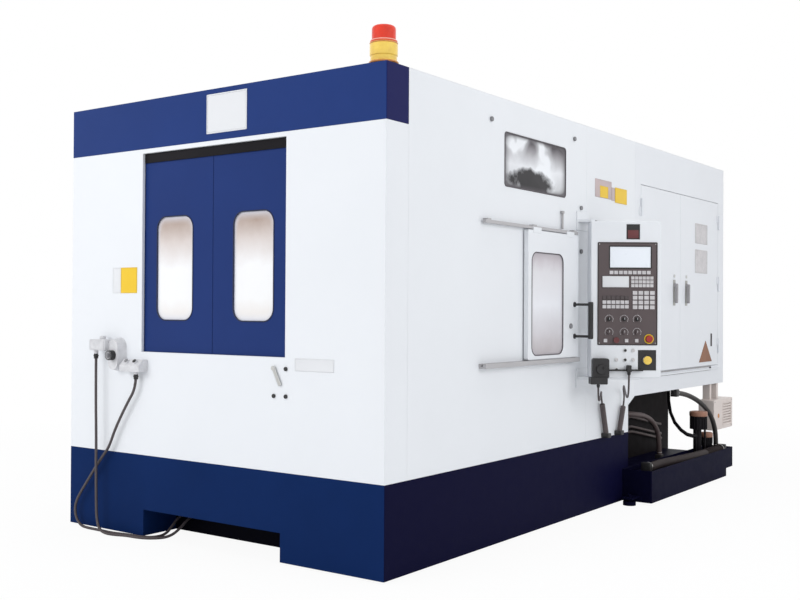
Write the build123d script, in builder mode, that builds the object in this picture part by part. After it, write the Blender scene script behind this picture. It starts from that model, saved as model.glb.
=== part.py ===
# Horizontal machining centre with a two-pallet changer, in a full enclosure.
# Origin: on the floor under the middle levelling foot, at the middle of the enclosure's plan.
# +X is to the right as seen from the loading doors, +Y runs to the back, +Z is up. Millimetres.

import os
from math import cos, pi, radians, sin, tan

from build123d import *

os.makedirs("parts", exist_ok=True)

# Enclosure
width = 2384.0
depth = 4810.0
height = 2500.0
plinth_clearance = 12.0
plinth_height = 462.0
header_height = 282.0
corner_return = 186.0
sheet = 3.0
bend_radius = 6.0
flange = 28.0
running_gap = 0.3

side = width / 2
front = -depth / 2
back = depth / 2
base = plinth_clearance
top = base + height
rear_skirt = base + 705.0
plinth_top = base + plinth_height
header_bottom = top - header_height

# Loading opening and its two doors
loading_width = 1104.0
loading_head = height - header_height - 25.0
loading_opening_height = 1139.0
loading_sill = loading_head - loading_opening_height
loading_lip = 18.0
loading_door_thickness = 26.0
loading_door_overlap = 30.0
loading_door_gap = 2.0
loading_door_height = 1109.0
loading_travel = 500.0
loading_window_centre = 303.0
loading_window_width = 292.0
loading_window_height = 586.0
loading_window_radius = 70.0
loading_window_sill = loading_sill + 183.0
track_height = 62.0
track_depth = 58.0
hanger_thickness = 10.0
hanger_width = 120.0
pane_thickness = 6.0

# Plinth front cut-out
notch_width = 1050.0
notch_height = 150.0
recess_depth = 252.0
cable_hole_radius = 10.0

# Right side, measured from the front face and from the plinth's foot
side_panel_rear = 2176.0
pendant_panel_rear = 2951.0
plinth_side_length = 2845.0
gusset_height = 187.0
inspection_window_front = 1122.0
inspection_window_rear = 1883.0
inspection_window_head = height - 182.0
inspection_window_sill = inspection_window_head - 313.0
inspection_window_radius = 22.0
operator_opening_front = 1400.0
operator_opening_rear = 1960.0
operator_opening_sill = 1040.0
operator_opening_head = 1740.0
operator_door_front = 1340.0
operator_door_rear = 1990.0
operator_door_thickness = 28.0
operator_door_standoff = 8.0
operator_window_front = 1383.0
operator_window_rear = 1780.0
operator_window_sill = 1039.0
operator_window_head = 1645.0
operator_window_radius = 55.0
rail_front = 870.0
rail_rear = 1992.0
upper_rail_height = 1790.0
lower_guide_height = 985.0
rail_section = 26.0
stop_rod_from_front = 1816.0
stop_rod_height = 112.0
handle_from_front = 1934.0
handle_low = 1144.0
handle_high = 1342.0
handle_reach = 112.0
handle_grip_radius = 16.0
handle_arm_radius = 8.0

# Electrical cabinet
cabinet_depth = 480.0
cabinet_doors_front = 3056.0
cabinet_doors_meet = 3820.0
cabinet_doors_rear = 4675.0
cabinet_doors_sill = 858.0
cabinet_doors_head = height - 290.0
cabinet_door_thickness = 22.0
cabinet_door_gap = 3.0
knuckle_radius = 8.0
knuckle_length = 60.0
knuckle_offset = 8.3
latch_low = 1362.0
latch_high = 1527.0
latch_from_meet = 125.0
latch_width = 26.0
latch_proud = 30.0
latch_shaft_radius = 10.0

# Bed, ways and levelling feet
foot_height = 60.0
foot_radius = 43.0
bed_front = 260.0
bed_rear = 4350.0
bed_step = 2400.0
bed_front_width = 1200.0
bed_rear_width = 1780.0
bed_front_top = 548.0
bed_rear_top = 705.0
way_width = 40.0
way_height = 36.0
table_way_centre = 250.0
table_way_front = 1180.0
column_way_front = 2740.0
column_way_rear = 3320.0
column_way_length = 1340.0

# Pallets, table and changer
pallet_size = 400.0
pallet_thickness = 80.0
pallet_height = 1080.0
pallet_pitch = 80.0
pallet_hole_radius = 6.9
pallet_hole_depth = 32.0
changer_from_front = 980.0
changer_radius = 500.0
table_from_front = 1950.0
changer_boss_radius = 170.0
changer_shaft_radius = 90.0
fork_centre = 182.0
fork_width = 34.0
fork_depth = 40.0
divider_width = 1500.0
divider_height = 1080.0
divider_thickness = 60.0

# Column, spindle head and spindle
column_front = 2650.0
column_rear = 3420.0
column_half_width = 400.0
column_opening_half = 185.0
column_height = height - 170.0
column_travel = 250.0
spindle_height = 1300.0
spindle_nose_from_front = 2200.0
head_half_width = 150.0
head_half_height = 190.0
spindle_radius = 45.0
spindle_clearance = 0.05

# Tool magazine and change arm
magazine_from_side = 420.0
magazine_from_front = 2240.0
magazine_height = height - 510.0
magazine_radius = 245.0
pot_circle_radius = 190.0
pot_count = 16
pot_radius = 30.0
change_pot_angle = 225.0
change_arm_plane = 2145.0
magazine_shaft_radius = 30.0

# Console, swung out from the side on its front edge
console_swing_out = 54.4
console_width = 438.0
console_height = 980.0
console_sill = 886.0
console_thickness = 130.0
console_hinge_inset = 20.0
console_hinge_behind = 100.0
console_hinge_from_side = 78.0
console_hinge_from_front = 2089.0
console_pin_radius = 11.0
knob_radius = 13.0
knob_height = 18.0
handwheel_radius = 30.0

# Coolant tank, pumps and oil cooler
tank_front = 2752.0
tank_rear = 4272.0
tray_rear = 4420.0
tank_proud = 212.0
tank_step_height = 62.0
tray_height = 205.0
tank_wall = 4.0
pump_radius = 66.0
pump_small_radius = 46.0
cooler_depth = 130.0

# Signal light
light_from_side = 100.0
light_from_front = 110.0
light_radius = 66.0

# Cables
cable_radius = 8.0
thin_cable_radius = 6.0
floor_z = cable_radius + 0.6
cable_a_x = -881.0
cable_b_x = -558.0
cable_hole_places = (cable_a_x + 521, cable_b_x + 118)
cable_hole_z = floor_z + 101


def block(x0, x1, y0, y1, z0, z1, mode=Mode.ADD):
    """A box between limits, in the open part."""
    with Locations(((x0 + x1) / 2, (y0 + y1) / 2, (z0 + z1) / 2)):
        Box(x1 - x0, y1 - y0, z1 - z0, mode=mode)


def front_plane(y):
    """A plane across the machine at y, looking at it from the loading doors."""
    return Plane(origin=(0, y, 0), x_dir=(1, 0, 0), z_dir=(0, -1, 0))


def side_plane(x):
    """A plane along the machine at x, whose local x is +Y and local y is +Z."""
    return Plane(origin=(x, 0, 0), x_dir=(0, 1, 0), z_dir=(1, 0, 0))


def opening(x0, x1, z0, z1, radius=0.0, grow=0.0):
    """A rectangle between limits in the open sketch, with round corners if radius is set."""
    with Locations(((x0 + x1) / 2, (z0 + z1) / 2)):
        if radius > 0:
            RectangleRounded(x1 - x0 + 2 * grow, z1 - z0 + 2 * grow, radius + grow)
        else:
            Rectangle(x1 - x0 + 2 * grow, z1 - z0 + 2 * grow)


def folded_front(return_length):
    """The plan of a sheet folded round the front corners, in the open sketch."""
    with Locations((0, front + return_length / 2)):
        Rectangle(width, return_length)
    fillet(vertices().sort_by(Axis.Y)[:2], bend_radius)
    with Locations((0, front + sheet + return_length / 2)):
        Rectangle(width - 2 * sheet, return_length, mode=Mode.SUBTRACT)


def side_pan(x, toward, corners):
    """A sheet pan with a flange all round: its skin at x, its flanges toward the inside."""
    with BuildPart() as pan:
        with BuildSketch(side_plane(x)):
            Polygon(*corners, align=None)
        extrude(amount=toward * flange)
        with BuildSketch(side_plane(x + toward * sheet)):
            Polygon(*corners, align=None)
            offset(amount=-sheet, kind=Kind.INTERSECTION, mode=Mode.REPLACE)
        extrude(amount=toward * flange, mode=Mode.SUBTRACT)
    return pan.part


def limits(y0, y1, z0, z1):
    """The corners of a rectangle between limits."""
    return [(y0, z0), (y1, z0), (y1, z1), (y0, z1)]


def hollow_roof(x0, x1, y0, y1):
    """A roof pan at the machine's top, open below."""
    with BuildPart() as roof:
        block(x0, x1, y0, y1, top - flange, top)
        block(x0 + sheet, x1 - sheet, y0 + sheet, y1 - sheet, top - flange, top - sheet, mode=Mode.SUBTRACT)
    return roof.part


# Levelling feet
foot_x = bed_front_width / 2 - 90
rear_foot_x = bed_rear_width / 2 - 90
foot_places = [
    (foot_x, front + 420),
    (-foot_x, front + 420),
    (foot_x, front + 1700),
    (-foot_x, front + 1700),
    (0, 0),
    (rear_foot_x, front + 2950),
    (-rear_foot_x, front + 2950),
    (rear_foot_x, front + 4200),
    (-rear_foot_x, front + 4200),
]
with BuildPart() as leveling_feet:
    with Locations(*[(x, y, 0) for x, y in foot_places]):
        Cylinder(foot_radius + 17, 14, align=(Align.CENTER, Align.CENTER, Align.MIN))
        Cone(foot_radius + 17, 26, 14, align=(Align.CENTER, Align.CENTER, Align.MIN))
    with Locations(*[(x, y, 14) for x, y in foot_places]):
        Cylinder(20, foot_height - 14, align=(Align.CENTER, Align.CENTER, Align.MIN))
    with BuildSketch(Plane.XY.offset(24)):
        with Locations(*foot_places):
            RegularPolygon(30, 6)
    extrude(amount=18)
leveling_feet.part.label = "leveling_feet"
export_step(leveling_feet.part, "parts/leveling_feet.step")

# Bed casting: a low front for the table, a raised rear for the column, outriggers to the plinth
bed_top = base + bed_front_top
bed_back_top = base + bed_rear_top
changer_y = front + changer_from_front
boss_top = bed_top + 300
shaft_socket = 120.0
with BuildPart() as bed:
    block(-bed_front_width / 2, bed_front_width / 2, front + bed_front, front + bed_step,
          foot_height, bed_top)
    fillet(bed.edges().filter_by(Axis.Z).group_by(Axis.Y)[0], 60)
    block(-bed_rear_width / 2, bed_rear_width / 2, front + bed_step, front + bed_rear,
          foot_height, bed_back_top)
    with BuildSketch(Plane.XY.offset(foot_height)):
        with Locations((0, front + 620), (0, front + 2100)):
            Rectangle(width - 2 * (sheet + 1), 130)
    extrude(amount=plinth_top - foot_height - 120)
    with BuildSketch(Plane.XY.offset(bed_top)):
        for x in (-table_way_centre, table_way_centre):
            with Locations((x, front + (table_way_front + bed_step) / 2)):
                Rectangle(way_width, bed_step - table_way_front)
    extrude(amount=way_height)
    with BuildSketch(Plane.XY.offset(bed_back_top)):
        for y in (front + column_way_front, front + column_way_rear):
            with Locations((0, y)):
                Rectangle(column_way_length, way_width)
    extrude(amount=way_height)
    with Locations((0, changer_y, bed_top - shaft_socket)):
        Cylinder(changer_shaft_radius + running_gap, shaft_socket + 1,
                 align=(Align.CENTER, Align.CENTER, Align.MIN), mode=Mode.SUBTRACT)
    # chip trough between the table ways, open to the rear cavity
    block(-150, 150, front + 1300, front + bed_step - 60, bed_top - 160, bed_top + 1, mode=Mode.SUBTRACT)
    # core windows in the side walls
    with BuildSketch(side_plane(bed_front_width / 2)):
        for y in (front + 1000, front + 1500):
            with Locations((y, (foot_height + bed_top) / 2)):
                RectangleRounded(300, 240, 60)
    extrude(amount=-120, mode=Mode.SUBTRACT)
    with BuildSketch(side_plane(-bed_front_width / 2)):
        for y in (front + 1000, front + 1500):
            with Locations((y, (foot_height + bed_top) / 2)):
                RectangleRounded(300, 240, 60)
    extrude(amount=120, mode=Mode.SUBTRACT)
bed.part.label = "bed"
export_step(bed.part, "parts/bed.step")

# Changer housing: the flared casting on the bed that guides the changer's lifting shaft
with BuildPart() as changer_housing:
    with Locations((0, changer_y, bed_top)):
        Cone(changer_boss_radius + 30, changer_boss_radius, 90, align=(Align.CENTER, Align.CENTER, Align.MIN))
        Cylinder(changer_boss_radius, boss_top - bed_top, align=(Align.CENTER, Align.CENTER, Align.MIN))
        Cylinder(changer_shaft_radius + running_gap, boss_top - bed_top,
                 align=(Align.CENTER, Align.CENTER, Align.MIN), mode=Mode.SUBTRACT)
changer_housing.part.label = "changer_housing"
export_step(changer_housing.part, "parts/changer_housing.step")

# Plinth: one folded sheet round the front and both sides, with a cut-out at the middle
plinth_sheet = 4.0
with BuildPart() as base_skirt:
    with BuildSketch(Plane.XY.offset(base)):
        with Locations((0, front + plinth_side_length / 2)):
            Rectangle(width, plinth_side_length)
        fillet(vertices().sort_by(Axis.Y)[:2], bend_radius)
        with Locations((0, front + plinth_sheet + plinth_side_length / 2)):
            Rectangle(width - 2 * plinth_sheet, plinth_side_length, mode=Mode.SUBTRACT)
    extrude(amount=plinth_height)
    for z in (base, plinth_top - plinth_sheet):
        with BuildSketch(Plane.XY.offset(z)):
            with Locations((0, front + plinth_side_length / 2)):
                Rectangle(width - 2 * plinth_sheet, plinth_side_length - 2 * plinth_sheet)
                Rectangle(width - 2 * plinth_sheet - 2 * flange, plinth_side_length + 1, mode=Mode.SUBTRACT)
        extrude(amount=plinth_sheet)
    with BuildSketch(front_plane(front)):
        with Locations((0, base + notch_height / 2)):
            Rectangle(notch_width, notch_height)
    extrude(amount=-(flange + 2 * plinth_sheet), mode=Mode.SUBTRACT)
    # the cut-out's own cheeks, roof and back, with two holes for the cables
    notch_x = notch_width / 2
    notch_top = base + notch_height
    recess_back = front + recess_depth
    for x in (-notch_x - plinth_sheet, notch_x):
        block(x, x + plinth_sheet, front + plinth_sheet, recess_back, base, notch_top)
    block(-notch_x - plinth_sheet, notch_x + plinth_sheet, front + plinth_sheet, recess_back,
          notch_top, notch_top + plinth_sheet)
    block(-notch_x - plinth_sheet, notch_x + plinth_sheet, recess_back, recess_back + plinth_sheet,
          base, notch_top + plinth_sheet)
    with BuildSketch(front_plane(recess_back)):
        with Locations(*[(x, cable_hole_z) for x in cable_hole_places]):
            Circle(cable_hole_radius)
    extrude(amount=-plinth_sheet, mode=Mode.SUBTRACT)
base_skirt.part.label = "base_skirt"
export_step(base_skirt.part, "parts/base_skirt.step")

# White front, folded round both corners, with lips round the loading opening
loading_x = loading_width / 2
sill = base + loading_sill
head = base + loading_head
with BuildPart() as front_shell:
    with BuildSketch(Plane.XY.offset(plinth_top)):
        folded_front(corner_return)
    extrude(amount=header_bottom - plinth_top)
    with BuildSketch(front_plane(front)):
        opening(-loading_x, loading_x, sill, head, grow=sheet)
    extrude(amount=-loading_lip)
    with BuildSketch(front_plane(front)):
        opening(-loading_x, loading_x, sill, head)
    extrude(amount=-loading_lip, mode=Mode.SUBTRACT)
front_shell.part.label = "front_shell"
export_step(front_shell.part, "parts/front_shell.step")

# Blue header, folded round both corners and over the top
with BuildPart() as header_band:
    with BuildSketch(Plane.XY.offset(header_bottom)):
        folded_front(corner_return)
    extrude(amount=header_height)
    block(-side + sheet, side - sheet, front + sheet, front + flange, top - sheet, top)
header_band.part.label = "header_band"
export_step(header_band.part, "parts/header_band.step")

# Right side panel with the operator opening and the inspection window
panel_front = front + corner_return
with BuildPart() as side_panel_right:
    add(side_pan(side, -1, limits(panel_front, front + side_panel_rear, plinth_top, top)))
    fillet(side_panel_right.edges().filter_by(Axis.Z).group_by(Axis.X)[-1], 2)
    with BuildSketch(side_plane(side)):
        opening(front + operator_opening_front, front + operator_opening_rear,
                base + operator_opening_sill, base + operator_opening_head, 30)
        opening(front + inspection_window_front, front + inspection_window_rear,
                base + inspection_window_sill, base + inspection_window_head, inspection_window_radius)
    extrude(amount=-sheet, mode=Mode.SUBTRACT)
side_panel_right.part.label = "side_panel_right"
export_step(side_panel_right.part, "parts/side_panel_right.step")

# Inspection pane: set in the opening from inside, with a lip behind the sheet
with BuildPart() as magazine_pane:
    with BuildSketch(side_plane(side - sheet)):
        opening(front + inspection_window_front, front + inspection_window_rear,
                base + inspection_window_sill, base + inspection_window_head,
                inspection_window_radius, grow=18)
    extrude(amount=-pane_thickness)
    with BuildSketch(side_plane(side - sheet)):
        opening(front + inspection_window_front, front + inspection_window_rear,
                base + inspection_window_sill, base + inspection_window_head,
                inspection_window_radius, grow=-running_gap)
    extrude(amount=1.5)
magazine_pane.part.label = "magazine_pane"
export_step(magazine_pane.part, "parts/magazine_pane.step")

# Plain right panel beside the console, with its gusset over the tank
with BuildPart() as pendant_panel_right:
    gusset_top = rear_skirt - 5
    pendant_corners = [
        (front + side_panel_rear, plinth_top),
        (front + plinth_side_length, plinth_top),
        (front + plinth_side_length, plinth_top + gusset_height),
        (front + pendant_panel_rear, gusset_top),
        (front + pendant_panel_rear, top),
        (front + side_panel_rear, top),
    ]
    add(side_pan(side, -1, pendant_corners))
    fillet(pendant_panel_right.edges().filter_by(Axis.Z).group_by(Axis.X)[-1], 2)
pendant_panel_right.part.label = "pendant_panel_right"
export_step(pendant_panel_right.part, "parts/pendant_panel_right.step")

# Left, rear and roof panels
cabinet_inner = side - cabinet_depth
with BuildPart() as plain_panels:
    add(side_pan(-side, 1, limits(panel_front, front + plinth_side_length, plinth_top, top)))
    add(side_pan(-side, 1, limits(front + plinth_side_length, back, rear_skirt, top)))
    rear_left = -side + flange
    with BuildPart(mode=Mode.PRIVATE) as rear:
        block(rear_left, cabinet_inner, back - flange, back, rear_skirt, top)
        block(rear_left + sheet, cabinet_inner - sheet, back - flange, back - sheet,
              rear_skirt + sheet, top - sheet, mode=Mode.SUBTRACT)
    add(rear.part)
    roof_x = side - flange
    add(hollow_roof(-roof_x, roof_x, front + flange, front + pendant_panel_rear))
    add(hollow_roof(-roof_x, cabinet_inner, front + pendant_panel_rear, back - flange))
plain_panels.part.label = "plain_panels"
export_step(plain_panels.part, "parts/plain_panels.step")

# Electrical cabinet: a box open at the doors, with pintle knuckles and a drip rail
cabinet_front = front + pendant_panel_rear
door_sill = base + cabinet_doors_sill
door_head = base + cabinet_doors_head
door_front = front + cabinet_doors_front
door_rear = front + cabinet_doors_rear
door_meet = front + cabinet_doors_meet
knuckle_x = side + knuckle_offset
knuckle_heights = [door_sill + (door_head - door_sill) * share for share in (0.12, 0.5, 0.88)]
with BuildPart() as electrical_cabinet:
    block(cabinet_inner, side, cabinet_front, back, rear_skirt, top)
    fillet(electrical_cabinet.edges().filter_by(Axis.Z).group_by(Axis.X)[-1], 2)
    block(cabinet_inner + sheet, side - sheet, cabinet_front + sheet, back - sheet,
          rear_skirt + sheet, top - sheet, mode=Mode.SUBTRACT)
    # door frame: a channel round the opening that the doors close into
    with BuildSketch(side_plane(side)):
        opening(door_front, door_rear, door_sill, door_head, grow=sheet)
    extrude(amount=-(cabinet_door_thickness + 8))
    with BuildSketch(side_plane(side)):
        opening(door_front, door_rear, door_sill, door_head)
    extrude(amount=-(cabinet_door_thickness + 1), mode=Mode.SUBTRACT)
    with BuildSketch(side_plane(side)):
        opening(door_front + 20, door_rear - 20, door_sill + 20, door_head - 20)
    extrude(amount=-(cabinet_door_thickness + 8), mode=Mode.SUBTRACT)
    block(side, side + 12, door_front, door_rear, door_sill - 32, door_sill - 20)
    for y, reach in ((door_front, -1), (door_rear, 1)):
        for z in knuckle_heights:
            with Locations((knuckle_x, y, z - knuckle_length / 2)):
                Cylinder(knuckle_radius, knuckle_length)
            with Locations((side + 1.5, y + reach * 18, z - knuckle_length / 2)):
                Box(3, 36, knuckle_length)
electrical_cabinet.part.label = "electrical_cabinet"
export_step(electrical_cabinet.part, "parts/electrical_cabinet.step")

# Mounting plate with its rows of switchgear, contactors and drives
plate_x = cabinet_inner + 40
module_rows = ((110, 300, 190), (78, 110, 80), (54, 96, 90), (150, 210, 120))
module_gap = 34.0
module_row_length = 1250.0
with BuildPart() as cabinet_modules:
    block(plate_x, plate_x + 4, door_front + 40, door_rear - 40, door_sill + 20, door_head - 20)
    for y in (door_front + 80, door_rear - 80):
        block(cabinet_inner + sheet, plate_x, y - 20, y + 20, door_sill + 60, door_head - 60)
    for row, (size_y, size_z, reach) in enumerate(module_rows):
        row_z = door_head - 220 - row * 300
        step = size_y + module_gap
        places = [door_front + 160 + step * number for number in range(int(module_row_length / step))]
        with Locations(*[(plate_x + 4 + reach / 2, y, row_z) for y in places]):
            Box(reach, size_y, size_z)
        block(plate_x + 4, plate_x + 34, door_front + 90, door_rear - 90, row_z - 160, row_z - 158 + 28)
cabinet_modules.part.label = "cabinet_modules"
export_step(cabinet_modules.part, "parts/cabinet_modules.step")


def cabinet_door(name, hinge_y, free_y):
    """A pan door that closes flush into the frame, with its hinge knuckles."""
    direction = 1 if free_y > hinge_y else -1
    near, far = sorted((hinge_y + direction * cabinet_door_gap, free_y - direction * cabinet_door_gap / 2))
    z0, z1 = door_sill + cabinet_door_gap, door_head - cabinet_door_gap
    with BuildPart() as door:
        block(side - cabinet_door_thickness, side, near, far, z0, z1)
        fillet(door.edges().filter_by(Axis.X), 4)
        chamfer(door.faces().sort_by(Axis.X)[-1].edges(), 1.5)
        block(side - cabinet_door_thickness, side - sheet, near + sheet, far - sheet,
              z0 + sheet, z1 - sheet, mode=Mode.SUBTRACT)
        # the lift-off half of each hinge, just above the fixed half
        for z in knuckle_heights:
            with Locations((knuckle_x, hinge_y, z + running_gap + knuckle_length / 2)):
                Cylinder(knuckle_radius, knuckle_length)
            with Locations((side + 1.5, hinge_y + direction * 20, z + running_gap + knuckle_length / 2)):
                Box(3, 34, knuckle_length)
        latch_y = door_meet - direction * latch_from_meet
        with Locations((side - sheet - 6, latch_y, base + latch_high - 25)):
            Box(12, 60, 60)
        with Locations(Location((side, latch_y, base + latch_high - 25), (0, 90, 0))):
            Cylinder(latch_shaft_radius + running_gap, 60, mode=Mode.SUBTRACT)
    door.part.label = name
    export_step(door.part, f"parts/{name}.step")
    return latch_y


def latch_handle(name, latch_y):
    """A swing handle that lies upright when the door is latched, with its shaft and cam."""
    z = base + latch_high - 25
    with BuildPart() as handle:
        with BuildSketch(side_plane(side + 8)):
            with BuildLine():
                bottom = base + latch_low + latch_width / 2
                Line((latch_y - latch_width / 2, z), (latch_y - latch_width / 3, bottom))
                JernArc((latch_y - latch_width / 3, bottom), (0, -1), latch_width / 3, 180)
                Line((latch_y + latch_width / 3, bottom), (latch_y + latch_width / 2, z))
                JernArc((latch_y + latch_width / 2, z), (0, 1), latch_width / 2, 180)
            make_face()
        extrude(amount=latch_proud - 8)
        fillet(handle.faces().sort_by(Axis.X)[-1].edges(), 4)
        with Locations(Location((side + running_gap, latch_y, z), (0, 90, 0))):
            Cylinder(20, 8 - running_gap, align=(Align.CENTER, Align.CENTER, Align.MIN))
        with Locations(Location((side + running_gap, latch_y, z), (0, -90, 0))):
            Cylinder(latch_shaft_radius, 26, align=(Align.CENTER, Align.CENTER, Align.MIN))
    handle.part.label = name
    export_step(handle.part, f"parts/{name}.step")


front_latch_y = cabinet_door("cabinet_door_front", door_front, door_meet)
rear_latch_y = cabinet_door("cabinet_door_rear", door_rear, door_meet)
latch_handle("latch_handle_front", front_latch_y)
latch_handle("latch_handle_rear", rear_latch_y)

# Door tracks: a slotted channel over the loading doors and a grooved sill under them, the
# operator door's rail and guide, and the stop rod over that rail
track_top = header_bottom - 3
track_bottom = track_top - track_height
track_y0 = front + loading_lip + running_gap
track_y1 = track_y0 + track_depth
hanger_y = (track_y0 + track_y1) / 2 + 8
track_half = loading_x + loading_door_overlap + loading_travel + 20
door_top = track_bottom - 4
door_bottom = door_top - loading_door_height
guide_half = 6.0
rail_x = side + operator_door_standoff + operator_door_thickness / 2
rail_z = base + upper_rail_height
guide_z = base + lower_guide_height
with BuildPart() as door_rails:
    block(-track_half, track_half, track_y0, track_y1, track_bottom, track_top)
    block(-track_half, track_half, track_y0 + 4, track_y1 - 4,
          track_bottom + 6, track_top - 4, mode=Mode.SUBTRACT)
    block(-track_half, track_half, hanger_y - hanger_thickness / 2 - 2, hanger_y + hanger_thickness / 2 + 2,
          track_bottom, track_bottom + 6, mode=Mode.SUBTRACT)
    # grooved sill
    block(-track_half, track_half, track_y0, track_y1, door_bottom - 40, door_bottom - 4)
    block(-track_half, track_half, front + sheet, track_y0, door_bottom - 40, door_bottom - 36)
    block(-track_half, track_half, hanger_y - guide_half - 1, hanger_y + guide_half + 1,
          door_bottom - 24, door_bottom - 4, mode=Mode.SUBTRACT)
    # operator door rail on standoffs
    block(rail_x - 9, rail_x + 9, front + rail_front, front + rail_rear, rail_z - 9, rail_z + 9)
    for y in (front + rail_front + 40, front + (rail_front + rail_rear) / 2, front + rail_rear - 40):
        block(side, rail_x + 9, y - 20, y + 20, rail_z + 9, rail_z + 17)
    # lower guide with its groove
    block(side, side + 46, front + rail_front - 16, front + rail_rear, guide_z, guide_z + rail_section)
    block(rail_x - guide_half - 1, rail_x + guide_half + 1, front + rail_front - 16, front + rail_rear,
          guide_z + 10, guide_z + rail_section, mode=Mode.SUBTRACT)
    # stop rod with its collar
    with Locations((side + 12, front + stop_rod_from_front, rail_z + 17)):
        Cylinder(7, stop_rod_height, align=(Align.CENTER, Align.CENTER, Align.MIN))
    with Locations((side + 12, front + stop_rod_from_front, rail_z + 17 + stop_rod_height - 16)):
        Cylinder(12, 16, align=(Align.CENTER, Align.CENTER, Align.MIN))
door_rails.part.label = "door_rails"
export_step(door_rails.part, "parts/door_rails.step")


def loading_door(name, direction):
    """One loading door: a pan with a window, two hanger plates in the track and a tongue in the sill."""
    inner = direction * loading_door_gap / 2
    outer = direction * (loading_x + loading_door_overlap)
    x0, x1 = sorted((inner, outer))
    y0 = front + loading_lip + 4
    y1 = y0 + loading_door_thickness
    window_x = direction * loading_window_centre
    window_z = base + loading_window_sill + loading_window_height / 2
    with BuildPart() as door:
        block(x0, x1, y0, y1, door_bottom, door_top)
        chamfer(door.faces().sort_by(Axis.Y)[0].edges(), 1.5)
        block(x0 + sheet, x1 - sheet, y0 + sheet, y1,
              door_bottom + sheet, door_top - sheet, mode=Mode.SUBTRACT)
        with BuildSketch(front_plane(y0 + sheet)):
            with Locations((window_x, window_z)):
                RectangleRounded(loading_window_width + 60, loading_window_height + 60,
                                 loading_window_radius + 30)
        extrude(amount=-(loading_door_thickness - sheet))
        with BuildSketch(front_plane(y0)):
            with Locations((window_x, window_z)):
                RectangleRounded(loading_window_width, loading_window_height, loading_window_radius)
        extrude(amount=-loading_door_thickness, mode=Mode.SUBTRACT)
        with BuildSketch(front_plane(y0 + 6)):
            with Locations((window_x, window_z)):
                RectangleRounded(loading_window_width + 24, loading_window_height + 24,
                                 loading_window_radius + 12)
        extrude(amount=-(pane_thickness + 2 * running_gap), mode=Mode.SUBTRACT)
        for share in (0.18, 0.82):
            x = x0 + (x1 - x0) * share
            block(x - hanger_width / 2, x + hanger_width / 2, hanger_y - hanger_thickness / 2,
                  hanger_y + hanger_thickness / 2, door_top - 60, track_bottom + 12)
            block(x - hanger_width / 2, x + hanger_width / 2, hanger_y - 14, hanger_y + 14,
                  track_bottom + 6 + running_gap, track_bottom + 24)
            block(x - hanger_width / 2, x + hanger_width / 2, y0 + sheet, hanger_y + hanger_thickness / 2,
                  door_top - 60, door_top - 40)
        block(x0 + 30, x1 - 30, hanger_y - guide_half, hanger_y + guide_half,
              door_bottom - 20, door_bottom + 30)
        block(x0 + 30, x1 - 30, y0 + sheet, hanger_y + guide_half, door_bottom + 10, door_bottom + 30)
    door.part.label = name
    export_step(door.part, f"parts/{name}.step")


def loading_pane(name, direction):
    """The clear pane in a loading door, held in the groove round its window."""
    y = front + loading_lip + 4 + 6 + running_gap
    with BuildPart() as pane:
        with BuildSketch(front_plane(y)):
            with Locations((direction * loading_window_centre,
                            base + loading_window_sill + loading_window_height / 2)):
                RectangleRounded(loading_window_width + 23, loading_window_height + 23,
                                 loading_window_radius + 11.5)
        extrude(amount=-pane_thickness)
    pane.part.label = name
    export_step(pane.part, f"parts/{name}.step")


loading_door("front_door_left", -1)
loading_door("front_door_right", 1)
loading_pane("front_pane_left", -1)
loading_pane("front_pane_right", 1)

# Operator door: a pan outside the panel, hung on the upper rail and guided in the lower one
door_x0 = side + operator_door_standoff
door_x1 = door_x0 + operator_door_thickness
op_front = front + operator_door_front
op_rear = front + operator_door_rear
op_bottom = guide_z + rail_section + 3
op_top = rail_z - 9 - 6
with BuildPart() as operator_door:
    block(door_x0, door_x1, op_front, op_rear, op_bottom, op_top)
    fillet(operator_door.edges().filter_by(Axis.X), 12)
    chamfer(operator_door.faces().sort_by(Axis.X)[-1].edges(), 1.5)
    block(door_x0, door_x1 - sheet, op_front + 14, op_rear - 14,
          op_bottom + 14, op_top - 14, mode=Mode.SUBTRACT)
    with BuildSketch(side_plane(door_x0)):
        opening(front + operator_window_front, front + operator_window_rear, base + operator_window_sill,
                base + operator_window_head, operator_window_radius, grow=20)
    extrude(amount=operator_door_thickness - sheet)
    with BuildSketch(side_plane(door_x0)):
        opening(front + operator_window_front, front + operator_window_rear, base + operator_window_sill,
                base + operator_window_head, operator_window_radius)
    extrude(amount=operator_door_thickness, mode=Mode.SUBTRACT)
    with BuildSketch(side_plane(door_x1 - 4 - pane_thickness - 2 * running_gap)):
        opening(front + operator_window_front, front + operator_window_rear, base + operator_window_sill,
                base + operator_window_head, operator_window_radius, grow=12)
    extrude(amount=pane_thickness + 2 * running_gap, mode=Mode.SUBTRACT)
    # hanger shoes that clasp the rail, and the tongue in the guide
    for y in (op_front + 110, op_rear - 110):
        block(rail_x - 9 - 6, rail_x + 9 + 6, y - 50, y + 50, op_top - 16, rail_z + 3)
        block(rail_x - 9 - running_gap, rail_x + 9 + running_gap, y - 50, y + 50, rail_z - 9 - running_gap,
              rail_z + 3, mode=Mode.SUBTRACT)
    block(rail_x - guide_half, rail_x + guide_half, op_front + 40, op_rear - 40, guide_z + 14, op_bottom + 8)
operator_door.part.label = "operator_door"
export_step(operator_door.part, "parts/operator_door.step")

with BuildPart() as operator_pane:
    with BuildSketch(side_plane(door_x1 - 4 - pane_thickness - running_gap)):
        opening(front + operator_window_front, front + operator_window_rear, base + operator_window_sill,
                base + operator_window_head, operator_window_radius, grow=11.5)
    extrude(amount=pane_thickness)
operator_pane.part.label = "operator_pane"
export_step(operator_pane.part, "parts/operator_pane.step")

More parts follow.
